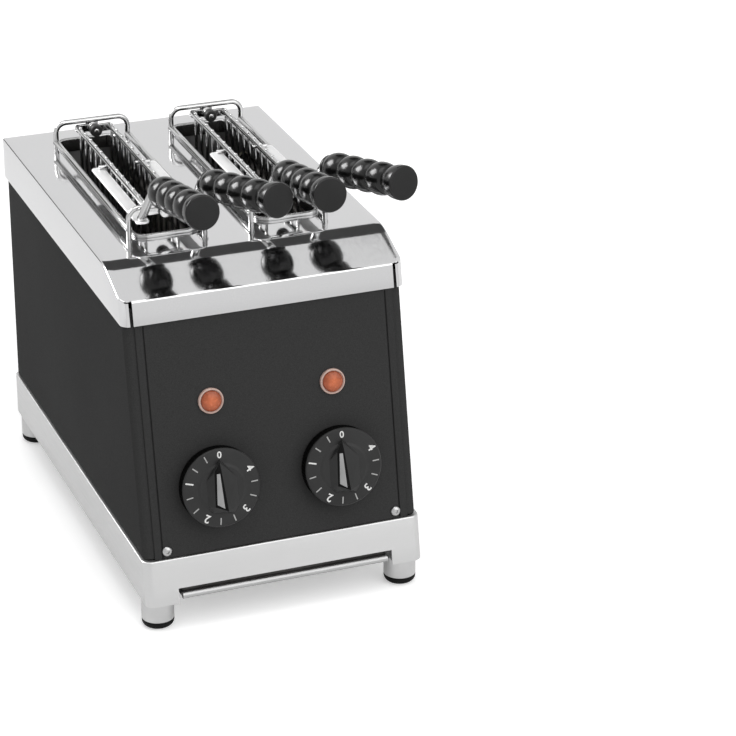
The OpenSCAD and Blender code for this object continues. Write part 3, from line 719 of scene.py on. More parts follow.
# Near-black pan: painted shade for the dark gap above the tray's rolled edge.
PAN_PAINTED_SHADE = PolishedSheet("stained_pan", "satin_steel", (0.07, 0.068, 0.066), rough=(0.45, 0.65),
                    cloud=(0.35, 26), grain=(500, 6e-6), stretch=(1, 0.05, 1))
TRAY_EDGE = PolishedSheet("tray_edge", "satin_steel", grey(0.40), rough=(0.34, 0.46),
                          cloud=(0.04, 30), grain=(900, 3e-6), stretch=(0.03, 1, 1))
INNER = PolishedSheet("inner_sheet", "inner_sheet", grey(0.42), rough=(0.35, 0.5),
                      cloud=(0.08, 20), grain=(500, 4e-6), stretch=(1, 1, 0.05))
REFLECTOR = PolishedSheet("reflector_sheet", "reflector_sheet", (0.55, 0.53, 0.5),
                          rough=(0.3, 0.45), cloud=(0.15, 16), grain=(500, 4e-6),
                          stretch=(1, 0.05, 1))
STRAP = PolishedSheet("bright_strap", "tong_strap", grey(0.92), rough=(0.42, 0.52),
                      cloud=(0.03, 40), grain=(900, 3e-6), stretch=(1, 0.03, 1))
COAT = PowderCoat("powder_coat", "black_coat", grey(0.038), rough=(0.5, 0.6),
                  cloud=(0.12, 5), grain=(1500, 5e-5), shine=0.007)
HEATER = Finish("heater_sheath", "heater_sheath", (0.05, 0.047, 0.045), rough=(0.45, 0.65),
                cloud=(0.3, 60), grain=(700, 2e-5), metal=1.0)
CERAMIC = Finish("steatite", "ceramic", (0.72, 0.69, 0.6), rough=(0.55, 0.7),
                 cloud=(0.06, 80), grain=(900, 3e-5))
CASE = Finish("timer_case", "timer_case", grey(0.45), rough=(0.4, 0.5),
              cloud=(0.05, 30), grain=(700, 1e-5), metal=1.0)
KNOB = Finish("knob_moulding", "knob_black", grey(0.024), rough=(0.34, 0.46),
              cloud=(0.15, 40), grain=(2200, 2e-5), shine=0.2)
# Near-black copy of the knob's moulding: painted shade on the drum's wall and the grip's ridge.
KNOB_PAINTED_SHADE = Finish("knob_ridge", "knob_black", grey(0.0015), rough=(0.4, 0.5),
               cloud=(0.15, 40), grain=(2200, 1e-5), shine=0.08)
MARKS = Finish("dial_print", "knob_inlay", (0.70, 0.70, 0.69), rough=(0.5, 0.6),
               cloud=(0.05, 300), grain=(1800, 1e-5))
TICKS = Finish("dial_ticks", "knob_inlay", (0.36, 0.36, 0.355), rough=(0.5, 0.6),
               cloud=(0.05, 300), grain=(1800, 1e-5))
INLAY = Finish("knob_wedge", "knob_inlay", grey(0.28), rough=(0.35, 0.5),
               cloud=(0.1, 90), grain=(1500, 2e-5))
BEZEL = Finish("lamp_bezel", "lamp_bezel", (0.50, 0.35, 0.30), rough=(0.18, 0.28),
               cloud=(0.08, 200), grain=(1200, 1e-5), coat=0.4)
LENS = Lens("lamp_lens", "lamp_lens", (0.39, 0.078, 0.026), rough=(0.2, 0.3),
            cloud=(0.1, 100), grain=(900, 2e-5), coat=0.1, shine=0.3)
FASTENER = Turned("plated_steel", "fastener_steel", grey(0.66), rough=(0.16, 0.26),
                  cloud=(0.04, 60), grain=(1400, 4e-6))
SCREW = Turned("screw_zinc", "fastener_steel", grey(0.40), rough=(0.22, 0.32),
               cloud=(0.08, 90), grain=(1400, 4e-6))
FOOT = Turned("turned_foot", "foot_metal", grey(0.50), rough=(0.30, 0.42),
              cloud=(0.05, 50), grain=(1800, 1e-5))
RUBBER = Finish("foot_rubber", "rubber", grey(0.010), rough=(0.6, 0.75),
                cloud=(0.2, 60), grain=(1600, 4e-5), shine=0.08)
PLASTIC = Finish("black_moulding", "black_plastic", grey(0.012), rough=(0.35, 0.5),
                 cloud=(0.2, 60), grain=(1800, 3e-5))
LOOM = Finish("glass_loom", "wire_insulation", grey(0.05), rough=(0.7, 0.85),
              cloud=(0.3, 100), grain=(1200, 1e-4))
WIRE = Finish("bright_wire", "tong_wire", grey(0.50), rough=(0.08, 0.16),
              cloud=(0.05, 60), grain=(800, 4e-6), metal=1.0)
GRIP = Finish("grip_moulding", "grip_black", grey(0.003), rough=(0.18, 0.24),
              cloud=(0.2, 80), grain=(900, 6e-6), shine=0.36)
GRIP_FACE = Finish("grip_face", "grip_black", grey(0.014), rough=(0.5, 0.62),
                   cloud=(0.1, 60), grain=(1500, 3e-5), shine=0.2)


@dataclass(frozen=True)
class Body:
    """Sizes that the pieces of the body share, and a point inside it."""

    half_w: float = 107.5
    half_d: float = 182.5
    height: float = 260.0
    lean: float = math.radians(10.9)
    base_low: float = 22.0
    base_top: float = 56.0
    flange_low: float = 228.0
    inset: float = 1.8
    slot_x: float = 47.0
    slot_y: float = 46.0
    slot_w: float = 45.0
    slot_l: float = 212.0
    core: tuple = (0, 0, 150)

    def front_y(self, z: Array) -> Array:
        """Y of the leaning front at a height."""
        return -self.half_d + (np.asarray(z, float) - self.base_low) * math.tan(self.lean)

    def panel(self, x: float, z: float) -> Place:
        """The frame on the front panel's face: right, up the slope, outwards.

        Args:
            x: place across the panel.
            z: height on the front's plane, before the panel's inset.

        Returns:
            The frame.
        """
        s, c = math.sin(self.lean), math.cos(self.lean)
        face = np.array([x, float(self.front_y(z)), z]) - self.inset * np.array([0, -c, s])
        return Place(tuple(face), (X_AXIS, (0, s, c), (0, -c, s)))


BODY = Body()


@dataclass
class TopCover:
    """The polished cover: flat top with two holes, rolled front, lip, and side and rear flanges.

    The fields in degrees are angles at which a grid line meets a round corner.
    """

    edge_r: float = 1.3
    wall: float = 1.0
    roll_y: float = 100.0
    roll_slope: float = math.radians(19.8)
    roll_r: float = 51.0
    lip_r: float = 2.2
    lip_x: float = 98.9
    rear_r: float = 4.0
    corner_r: float = 5.5
    corner_turn: float = math.radians(65)
    tab_x: float = 101.3
    tab_drop: float = 1.4
    hole_w: float = 48.6
    hole_l: float = 215.6
    hole_r: float = 8.8
    flat_rows: tuple = (-76.0, 166.0, 20.0, 90.0)
    hole_degrees: tuple = (56.25, 67.5, 78.75, 90.0)
    corner_degrees: tuple = (0.0, 20.0, 40.0)
    tab_degrees: tuple = (78.0, 90.0, 90.0)
    rim_corner: float = 7.0
    rim: tuple = ((0, -8, 0.2), (1.5, -8, 0.2), (1.5, 0, 0), (3.1, 0, 0.3), (3.1, 2.9, 1.3),
                  (0, 2.9, 1.3))

    def nose(self) -> tuple:
        """Where the roll's slope meets the leaning front.

        Returns:
            Y of the meeting line, and how far before it the nose's bend begins.
        """
        t, s = math.tan(BODY.lean), math.tan(self.roll_slope)
        rise = BODY.height - BODY.base_low + self.roll_y * s
        half = (math.pi / 2 + BODY.lean + self.roll_slope) / 2
        bend = self.lip_r / math.tan(half) * math.cos(self.roll_slope)
        return (rise - BODY.half_d / t) / (1 / t - s), bend

    def slope_z(self, y: Array) -> Array:
        """Height of the roll's slope at a depth."""
        return BODY.height + (np.asarray(y, float) + self.roll_y) * math.tan(self.roll_slope)

    def corner_y(self) -> float:
        """Y at which the front corner's rounding begins in plan."""
        return sum(self.nose()) + self.corner_r * math.sin(self.corner_turn)

    def half_width(self, y: Array) -> Array:
        """Half width at a depth: full, falling along the arcs of the front and rear corners.

        Args:
            y: depths.

        Returns:
            The half width at each.
        """
        front = (self.corner_y() - y) / self.corner_r
        front = np.clip(front, 0, math.sin(self.corner_turn))
        rear = np.clip((y - BODY.half_d + self.rear_r) / self.rear_r, 0, 1)
        corners = ((self.corner_r, front), (self.rear_r, rear))
        return BODY.half_w - sum(r * (1 - np.sqrt(1 - share**2)) for r, share in corners)

    def hole_lines(self, half: float) -> Array:
        """Grid lines through a hole: its two edges, and lines that meet its round corners.

        Args:
            half: half the hole's size.

        Returns:
            The lines' places about the hole's middle.
        """
        q = half - self.hole_r + self.hole_r * np.cos(np.radians(self.hole_degrees))
        return np.concatenate([[-half], -q, q[::-1], [half]])

    def outline(self) -> Array:
        """Side outline from the rear flange's edge over the top to the lip's, with all grid rows.

        Returns:
            Points in Y and Z, in order round the body's core.
        """
        d, low, top, nose_y = BODY.half_d, BODY.flange_low, BODY.height, self.nose()[0]
        line = rounded_line([(d, low, 0), (d, top, self.rear_r), (-self.roll_y, top, self.roll_r),
                             (nose_y, self.slope_z(nose_y), self.lip_r),
                             (BODY.front_y(low), low, 0)], steps=16)
        flat_y = np.append(BODY.slot_y + self.hole_lines(self.hole_l / 2), self.flat_rows)
        corner_y = self.corner_y() - self.corner_r * np.sin(np.radians(self.corner_degrees))
        corner = spread(corner_y, self.slope_z(corner_y))
        line = np.concatenate([line, spread(flat_y, top), corner])
        line = line[np.argsort(np.arctan2(line[:, 1] - BODY.core[2], line[:, 0]))]
        apart = np.linalg.norm(np.diff(line, axis=0), axis=1) > 1e-6
        return line[np.append(True, apart)]

    def round_holes(self, x: Array, y: Array, top: Array) -> tuple:
        """Moves grid points on a hole's border to its round corners.

        Past the straight part of one edge by f, the border stands sqrt(r r - f f) past the other's,
        and at the grid's own corner both are r sqrt(1/2).

        Args:
            x: X of the grid points.
            y: Y of the grid points.
            top: which points lie on the flat top.

        Returns:
            The new X and the new Y.
        """
        r, near = self.hole_r, 1e-6
        cx, cy = self.hole_w / 2 - r, self.hole_l / 2 - r
        dx, dy = np.abs(x) - BODY.slot_x, y - BODY.slot_y
        far_x, far_y = np.abs(dx) - cx, np.abs(dy) - cy
        on_x = top & np.isclose(far_x, r) & (far_y <= r + near)
        on_y = top & np.isclose(far_y, r) & (far_x <= r + near)
        arc_x, arc_y = (np.where(on_x & on_y, r * math.sqrt(0.5),
                                 np.sqrt(np.clip(r**2 - np.clip(far, 0, None)**2, 0, None)))
                        for far in (far_y, far_x))
        round_x = np.sign(x) * (BODY.slot_x + np.sign(dx) * (cx + arc_x))
        round_y = BODY.slot_y + np.sign(dy) * (cy + arc_y)
        return (np.where(on_x & (far_y > -near), round_x, x),
                np.where(on_y & (far_x > -near), round_y, y))

    def surface(self) -> Surface:
        """One grid for the top, whose rows follow the side outline, and one for each flange.

        At the sides a row leaves along a quarter round: outwards by r sin a and down the outline's
        normal by r (1 - cos a). A flange is ruled between the ends of those quarter rounds and its
        lower edge, and at the front it follows an arc in plan round the corner to a narrow relief
        beside the lip.

        Returns:
            The three grids as one open surface.
        """
        line, steps = self.outline(), 5
        along, half = unit(np.gradient(line, axis=0)), self.half_width(line[:, 0])
        out = spread(along[:, 1], -along[:, 0])
        cols = np.append(BODY.slot_x + self.hole_lines(self.hole_w / 2), [self.lip_x, self.tab_x])
        cols = np.sort(np.concatenate([-cols, [0.0], cols]))
        x, y, z = np.broadcast_arrays(cols[None], line[:, :1], line[:, 1:])
        x, y = self.round_holes(x, y, np.abs(z - BODY.height) < 1e-6)

        a, r = quarter(steps), self.edge_r
        bend_x = half[:, None] - r + r * np.sin(a)
        bend = line[:, None] - out[:, None] * (r * (1 - np.cos(a)))[None, :, None]
        left, right = (spread(s * bend_x, bend[..., 0], bend[..., 1]) for s in (-1, 1))
        points = np.concatenate([left[:, ::-1], spread(x, y, z), right], 1)

        wide = np.pad(cols, steps + 1, constant_values=(-BODY.half_w, BODY.half_w))
        mid_x, mid_y = np.abs(wide[:-1] + wide[1:]) / 2, (line[:-1, 0] + line[1:, 0]) / 2
        past = line[:, 0] < sum(self.nose()) + 1e-6
        hole = ((np.abs(mid_y - BODY.slot_y) < self.hole_l / 2)[:, None]
                & (np.abs(mid_x - BODY.slot_x) < self.hole_w / 2))
        keep = ~(hole | (past[:-1, None] & (mid_x > self.lip_x)))
        first = int(np.argmax(line[:, 1] > BODY.height - self.rear_r - 1e-6))
        run = slice(first, int(np.argmax(past)) + 1)
        flange = self.flange(line[run, 0], half[run], bend[run, -1])
        sides = [Surface.grid(flange * np.array([s, 1, 1]), inside=BODY.core) for s in (1, -1)]
        return Surface.join(Surface.grid(points, keep=keep, inside=BODY.core), *sides)

    def flange(self, y: Array, half: Array, edge: Array) -> Array:
        """The right flange as pairs of upper and lower points, from the rear to the relief.

        Args:
            y: depth of each of the outline's rows along the flange.
            half: half width at each row.
            edge: Y and Z where each row's bend ends.

        Returns:
            Points, rows by two by three.
        """
        low, start = BODY.flange_low, self.corner_y()
        shift = float(BODY.front_y(low) - BODY.front_y(self.slope_z(start)))
        share = np.clip((y + self.roll_y) / (start + self.roll_y), 0, 1) * (y < -self.roll_y)
        upper = spread(half, edge[:, 0], edge[:, 1])
        lower = spread(half, edge[:, 0] + share * shift, low)
        t = np.radians(self.tab_degrees)
        end_x = BODY.half_w - self.corner_r * (1 - np.cos(t))
        end_x[-1] = self.tab_x
        end_y = start - self.corner_r * np.sin(t)
        end_up = spread(end_x, end_y, self.slope_z(end_y) - self.tab_drop)
        end_low = spread(end_x, end_y + shift, low)
        return np.stack([np.concatenate([upper, end_up]), np.concatenate([lower, end_low])], 1)

    def collar(self, side: Side) -> None:
        """A rolled rim round a slot: a closed section carried round the slot's rounded rectangle.

        Args:
            side: which slot.
        """
        c, w, d = side.value * BODY.slot_x, BODY.slot_w / 2, BODY.slot_l / 2
        slot = rectangle(c - w, c + w, BODY.slot_y - d, BODY.slot_y + d, self.rim_corner, 8)
        rings = [spread(*inset_loop(slot, -out).T, BODY.height + up)
                 for out, up in rounded_line(self.rim, True, 5)]
        # The rim takes the darker copy of the polished sheet, as painted shade.
        Surface.grid(np.stack(rings), True, True).fit(
            f"{side.word}_slot_rim", RIM_PAINTED_SHADE, "body", f"{side.word}_slot_collar")

    def build(self) -> None:
        """Makes the cover and its two collars."""
        self.surface().fit("top_cover_sheet", POLISHED, "body", "top_cover", sharp=50,
                           wall=self.wall)
        for side in Side:
            self.collar(side)


@dataclass
class BaseFrame:
    """The satin base: a skirt with round corners and a rolled top, its deck, and foot plates.

    A row of the skirt is a height and how far the outline is moved in there. Along X the deck has a
    crumb opening's two edges and its own, on either side. Along Y the opening is between the middle
    two of its lines.
    """

    corner_r: float = 7.0
    least_r: float = 0.6
    roll: float = 0.9
    wall: float = 1.4
    cut_half: float = 83.0
    cut_top: float = 33.5
    skirt: tuple = ((22.0, 0.25), (22.6, 0.0), (33.5, 0.0), (45.0, 0.0))
    deck_in: tuple = (8.0, 20.0)
    deck_drop: float = 0.1
    deck_x: tuple = (14.0, 80.0, 90.0)
    deck_y: tuple = (-150.0, -61.0, 153.0, 165.0)
    foot_at: tuple = (94.9, 160.0)
    foot_half: tuple = (10.5, 20.0)
    foot_z: tuple = (22.1, 23.4)
    foot_r: float = 3.0

    def loop(self, z: float, depth: float) -> Array:
        """The base's outline at a height, starting at the front's left corner.

        Args:
            z: the height.
            depth: how far it is moved in.

        Returns:
            Points of the closed loop.
        """
        w, y, back = BODY.half_w - depth, float(BODY.front_y(z)) + depth, BODY.half_d - depth
        r = max(self.corner_r - depth, self.least_r)
        c = min(self.cut_half, w - r - 1)
        front = [(x, y, 0) for x in (-c, -c / 3, c / 3, c)]
        return spread(*rounded_line([(-w, y, r), *front, (w, y, r), (w, 0, 0), (w, back, r),
                                     (0, back, 0), (-w, back, r), (-w, 0, 0)], True, 8).T, z)

    def surface(self) -> Surface:
        """Rings of the outline, up the skirt, over a quarter round and in along the deck.

        Returns:
            The open surface, without the tray's cut-out.
        """
        a, top = quarter(6), BODY.base_top
        over = spread(top - self.roll * (1 - np.sin(a)), self.roll * (1 - np.cos(a)))
        rows = np.concatenate([self.skirt, over, spread(top, self.deck_in)])
        points = np.stack([self.loop(z, depth) for z, depth in rows])
        points = np.concatenate([points, points[:, :1]], 1)
        x, y, z = np.moveaxis((points[:-1, :-1] + points[1:, 1:]) / 2, -1, 0)
        cut = (z < self.cut_top) & (np.abs(x) < self.cut_half) & (y < 0)
        return Surface.grid(points, keep=~cut)

    def deck(self) -> Surface:
        """The deck's flat middle.

        Returns:
            A grid without the two crumb openings.
        """
        a, b, c = self.deck_x
        x, y = np.array([-c, -b, -a, 0, a, b, c]), np.array(self.deck_y)
        mid = np.abs(x[:-1] + x[1:]) / 2
        hole = (np.arange(3) == 1)[:, None] & (mid > a) & (mid < b)
        points = spread(x[None], y[:, None], BODY.base_top - self.deck_drop)
        return Surface.grid(points, keep=~hole, inside=(0, 0, 0))

    def build(self) -> None:
        """Makes the base and the plates that hold its feet."""
        Surface.join(self.surface(), self.deck()).fit("base_sheet", SATIN, "body", "base_frame",
                                                      sharp=40, wall=self.wall)
        (w, d), (fx, fy) = self.foot_half, self.foot_at
        plates = [plate(rectangle(x - w, x + w, y - d, y + d, self.foot_r), *self.foot_z, 0.3)
                  for x in (-fx, fx) for y in (-fy, fy)]
        Surface.join(*plates).fit("foot_plates", SATIN, "body")


@dataclass
class Panels:
    """The black coated panels: two wrapped sides and the leaning front."""

    low: float = 57.0
    front_low: float = 56.6
    high: float = 240.0
    fold: float = 21.0
    front_depth: float = 3.1
    corner_r: float = 6.0
    wall: float = 1.1
    front_wall: float = 1.2
    front_edge: float = 0.45
    front_corner: float = 0.5
    front_half: float = 98.0
    seam_x: float = 92.0
    seam_w: float = 1.0

    def side(self, side: Side) -> None:
        """A side panel: its plan line, from fold to fold, shifted back as the front leans.

        Args:
            side: which panel.
        """
        w, back, r = BODY.half_w - BODY.inset, BODY.half_d - BODY.inset, self.corner_r
        z = np.linspace(self.low, self.high, 14)
        plan = np.stack([rounded_line([(w - self.fold, y, 0), (w, y, r), (w, 0, 0), (w, back, r),
                                       (w - self.fold, back, 0)], steps=10)
                         for y in BODY.front_y(z) + self.front_depth / math.cos(BODY.lean)])
        points = spread(side.value * plan[..., 0], plan[..., 1], z[:, None])
        name = f"{side.word}_side_panel"
        Surface.grid(points, inside=BODY.core).fit(f"{name}_sheet", COAT, "body", name,
                                                   wall=self.wall)

    def front(self) -> None:
        """The front panel: a wide plate, and two narrow ones beside its seams, with eased edges."""
        low, high = ((z - BODY.base_low) / math.cos(BODY.lean) for z in (self.front_low, self.high))
        inner, outer = self.seam_x - self.seam_w / 2, self.seam_x + self.seam_w / 2
        spans = ((-inner, inner), (outer, self.front_half), (-self.front_half, -outer))
        plates = [plate(rectangle(*span, low, high, self.front_corner, 3), -self.front_wall, 0.0,
                        self.front_edge) for span in spans]
        Surface.join(*plates).put(BODY.panel(0, BODY.base_low)).fit(
            "front_panel_sheet", COAT, "body", "front_panel")

    def build(self) -> None:
        """Makes the panels."""
        for side in Side:
            self.side(side)
        self.front()


@dataclass
class CrumbTray:
    """The loose tray: a shallow pan with a rolled front edge."""

    half_w: float = 80.0
    front: float = -181.3
    length: float = 335.0
    low: float = 24.0
    wall: float = 0.9
    wall_h: float = 8.0
    wall_low: float = 5.0
    bend_r: float = 2.0
    corner_r: float = 2.5
    least_r: float = 0.3
    floor_in: tuple = (20.0, 60.0)
    roll_r: float = 2.6
    roll_lap: float = 0.6
    roll_inset: float = 0.3

    def build(self) -> None:
        """Makes the pan from rings, down its wall and in along its floor, and its rolled edge."""
        w, y0, a = self.half_w, self.front + 2 * self.roll_r - self.roll_lap, quarter(5)
        y1 = y0 + self.length
        bend_in, bend_up = self.bend_r * (1 - np.cos(a)), self.bend_r * (1 - np.sin(a))
        depth = np.concatenate([[0, 0], bend_in, self.floor_in])
        height = np.concatenate([[self.wall_h, self.wall_low], bend_up, [0, 0]])
        radius = np.maximum(self.corner_r - depth, self.least_r)
        rings = np.stack([spread(*rectangle(d - w, w - d, y0 + d, y1 - d, r, 4).T, self.low + h)
                          for d, h, r in zip(depth, height, radius)])
        pan = Surface.grid(rings, wrap_v=True)
        count = len(pan.points)
        pan.faces.append(list(range(count - rings.shape[1], count)))
        # The pan's near-black finish is painted shade for the gap above its rolled edge.
        pan.fit("crumb_pan", PAN_PAINTED_SHADE, "crumb_tray", "crumb_tray", wall=self.wall)
        y, z, end = self.front + self.roll_r, self.low + self.roll_r, w - self.roll_inset
        roll = tube(np.linspace((-end, y, z), (end, y, z), 3), self.roll_r, Z_AXIS, 24, 0.1)
        roll.fit("crumb_tray_roll", TRAY_EDGE, "crumb_tray")


@dataclass
class TimerKnob:
    """A timer knob: bevelled drum with its printed scale, low hub, pointed grip and light inlay.

    The grip's base, its ridge and the inlay's wedge are loops seen along the knob's axis.
    """

    side: Side
    at: tuple = (47.0, 105.0)
    gap: float = 1.2
    drum_r: float = 29.5
    drum_h: float = 11.0
    hub_r: float = 17.5
    hub_top: float = 11.8
    top: float = 15.8
    ease: float = 0.7
    face_fall: float = 0.4
    flutes: int = 72
    flute_share: float = 0.012
    scale_r: float = 24.9
    mark_turn: float = math.radians(24.8)
    marks: int = 13
    tick_half: tuple = (0.45, 2.6)
    type_h: tuple = (7.0, 8.6)
    type_bold: float = 0.13
    type_rise: float = 0.1
    base: tuple = ((0, 21.5), (11.5, 7), (11.5, -14), (8, -19.5), (-8, -17.5), (-11.5, -13),
                   (-11.5, 7))
    ridge: tuple = ((-1.7, 20.4), (-0.8, 14.5), (2.4, -16.8), (-7.3, -12.2), (-6.2, 13.5))
    wedge: tuple = ((-4.5, 12.2), (-5.8, -10.6), (-0.3, -14.4), (-2, 12.2))

    @property
    def place(self) -> Place:
        """The knob's frame, on its axis at the back of its drum."""
        return BODY.panel(self.side.value * self.at[0], self.at[1]).moved(0, 0, self.gap)

    @property
    def name(self) -> str:
        """The knob's node and body, and the start of its pieces' names."""
        return f"{self.side.word}_knob"

    def drum(self) -> Surface:
        """The turned drum and hub.

        Returns:
            The surface about the knob's axis.
        """
        r, h, hub, top, fall = self.drum_r, self.drum_h, self.hub_r, self.hub_top, self.face_fall
        profile = rounded_line([(0, 0.4, 0), (r - 0.5, 0.4, 0), (r - 0.5, h - 2.2, 0),
                                (r, h - 2.2, 0), (r, h - 1.2, 0.4), (r - 0.9, h - fall, 0.6),
                                (hub + 1, h, 0.9), (hub - 1, top, 0.9), (0, top, 0)], steps=4)
        return lathe(profile, 96)

    def skirt(self) -> Surface:
        """The drum's fluted wall: between its ends its radius falls by a share of a raised cosine.

        Returns:
            The surface about the knob's axis.
        """
        h, sides = self.drum_h, 4 * self.flutes
        inner, base, outer = self.drum_r - 1.6, self.drum_r - 0.6, self.drum_r - 0.15
        profile = rounded_line([(inner, 0.3, 0), (base, 0, 0.2), (outer, 0.5, 0.2), (outer, 1.0, 0),
                                (outer, h - 3.2, 0), (outer, h - 2.6, 0), (outer, h - 2.25, 0),
                                (inner, h - 2.25, 0), (inner, 0.3, 0)], steps=4)
        fluted = (profile[:, 1] > 0.9) & (profile[:, 1] < h - 3) & (profile[:, 0] > base - 0.4)
        wave = (1 - np.cos(self.flutes * full_turn(sides))) / 2
        return lathe(profile, sides, np.where(fluted[:, None], 1 - self.flute_share * wave, 1.0))

    def grip(self) -> bpy.types.Object:
        """The faceted grip: the convex form round its base and its ridge, with its edges eased.

        Returns:
            The object.
        """
        levels = ((self.drum_h, self.base), (self.hub_top, self.base), (self.top - 1, self.ridge),
                  (self.top - 0.12, self.ridge))
        points = np.concatenate([spread(*np.array(loop, float).T, h) for h, loop in levels])
        mesh = bpy.data.meshes.new(f"{self.name}_grip")
        work = bmesh.new()
        verts = [work.verts.new(p) for p in self.place.of(points) * MM]
        hull = bmesh.ops.convex_hull(work, input=verts)
        within = [v for v in hull["geom_interior"] if isinstance(v, bmesh.types.BMVert)]
        bmesh.ops.delete(work, geom=within, context="VERTS")
        bmesh.ops.dissolve_limit(work, angle_limit=math.radians(1), verts=work.verts,
                                 edges=work.edges)
        bmesh.ops.recalc_face_normals(work, faces=work.faces)
        work.to_mesh(mesh)
        work.free()
        mesh.materials.append(KNOB.material())
        piece = show(mesh.name, mesh)
        bevel = piece.modifiers.new("eased", "BEVEL")
        bevel.width, bevel.segments = self.ease * MM, 3
        bevel.limit_method, bevel.angle_limit = "ANGLE", math.radians(12)
        return piece

    def face_h(self, r: float) -> float:
        """Height of the drum's sloping face at a radius."""
        run = self.drum_r - 2.4 - self.hub_r
        return self.drum_h - self.face_fall * (r - self.hub_r - 1) / run

    def digit(self, text: str, place: Place, size: float) -> Surface:
        """A numeral as a thin raised mesh, its middle at a frame's origin and its top along Y.

        Args:
            text: the numeral.
            place: where it stands.
            size: height of the type.

        Returns:
            The surface.
        """
        curve = bpy.data.curves.new("numeral", "FONT")
        curve.body, curve.size, curve.resolution_u = text, size, 3
        curve.extrude, curve.offset = self.type_rise, self.type_bold
        curve.align_x = curve.align_y = "CENTER"
        holder = show("numeral", curve)
        graph = bpy.context.evaluated_depsgraph_get()
        mesh = bpy.data.meshes.new_from_object(holder.evaluated_get(graph))
        points = np.empty(len(mesh.vertices) * 3)
        mesh.vertices.foreach_get("co", points)
        faces = [list(p.vertices) for p in mesh.polygons]
        bpy.data.objects.remove(holder)
        bpy.data.curves.remove(curve)
        bpy.data.meshes.remove(mesh)
        return Surface(place.of(points.reshape(-1, 3)), faces)

    def scale(self) -> tuple:
        """Marks round the face: numerals at every third, ticks between them.

        Returns:
            The numerals and the ticks.
        """
        digits, ticks, (w, d) = [], [], self.tick_half
        for i in range(self.marks):
            spot = self.place.turned(self.mark_turn * i)
            spot = spot.moved(0, self.scale_r, self.face_h(self.scale_r))
            if i % 3:
                ticks.append(plate(rectangle(-w, w, -d, d, 0.2, 2), -0.1, 0.12, 0.05, 2).put(spot))
            else:
                spot = spot.moved(0, -0.3, 0.03)
                digits.append(self.digit(str(i // 3), spot, self.type_h[i > 0]))
        return Surface.join(*digits), Surface.join(*ticks)

    def build(self) -> None:
        """Makes the knob."""
        name, place, top = self.name, self.place, self.top
        self.drum().put(place).fit(f"{name}_drum", KNOB, name, name)
        # The drum's fluted wall and the ridge plate take the near-black copy of the moulding:
        # painted shade.
        self.skirt().put(place).fit(f"{name}_skirt", KNOB_PAINTED_SHADE, name)
        seat(self.grip(), KNOB, name)
        ridge = plate(np.array(self.ridge[::-1], float), top - 0.7, top - 0.05, 0.1, 2)
        ridge.put(place).fit(f"{name}_ridge", KNOB_PAINTED_SHADE, name)
        inlay = plate(np.array(self.wedge, float), top - 0.6, top, 0.03, 2)
        inlay.put(place).fit(f"{name}_wedge", INLAY, name, f"{name}_inlay")
        digits, ticks = self.scale()
        digits.fit(f"{name}_scale", MARKS, name)
        ticks.fit(f"{name}_ticks", TICKS, name)


@dataclass
class SignalLamp:
    """A round signal lamp: a bezel with a stepped rim, and a low domed lens."""

    side: Side
    at: tuple = (46.6, 166.5)
    bezel_r: float = 9.6
    bezel_h: float = 2.4
    stem_r: float = 6.0
    stem_low: float = -18.0
    bore_r: float = 4.8
    floor_h: float = 0.8
    lens_r: float = 7.7
    lens_rise: float = 2.4
    lens_step: float = 0.06
    plug_r: float = 4.6
    plug_low: float = -14.0

    def build(self) -> None:
        """Makes the bezel and the lens, whose dome is a quarter ellipse with low steps."""
        place, name = BODY.panel(self.side.value * self.at[0], self.at[1]), f"{self.side.word}_lamp"
        b, h, bore, stem, low = self.bezel_r, self.bezel_h, self.bore_r, self.stem_r, self.stem_low
        lip, gap, deep = self.lens_r + 0.9, self.lens_r + 0.1, self.floor_h
        ring = rounded_line([(bore, low, 0), (stem, low, 0), (stem, 0, 0), (b, 0, 0.1), (b, h, 1.1),
                             (lip, h, 0.3), (gap, h - 0.6, 0.2), (gap, deep, 0), (bore, deep, 0),
                             (bore, low, 0)], steps=5)
        lathe(ring).put(place).fit(f"{name}_ring", BEZEL, "body", f"{name}_bezel")
        q = quarter(11)
        step = np.arange(len(q)) % 2 * self.lens_step
        dome = spread(self.lens_r * np.cos(q), h - 0.3 + self.lens_rise * np.sin(q) - step)
        plug, seat_h = self.plug_r, deep + 0.1
        profile = np.concatenate([[(0, self.plug_low), (plug, self.plug_low), (plug, seat_h),
                                   (self.lens_r, seat_h)], dome])
        lathe(profile).put(place).fit(f"{name}_dome", LENS, "body", f"{name}_lens")


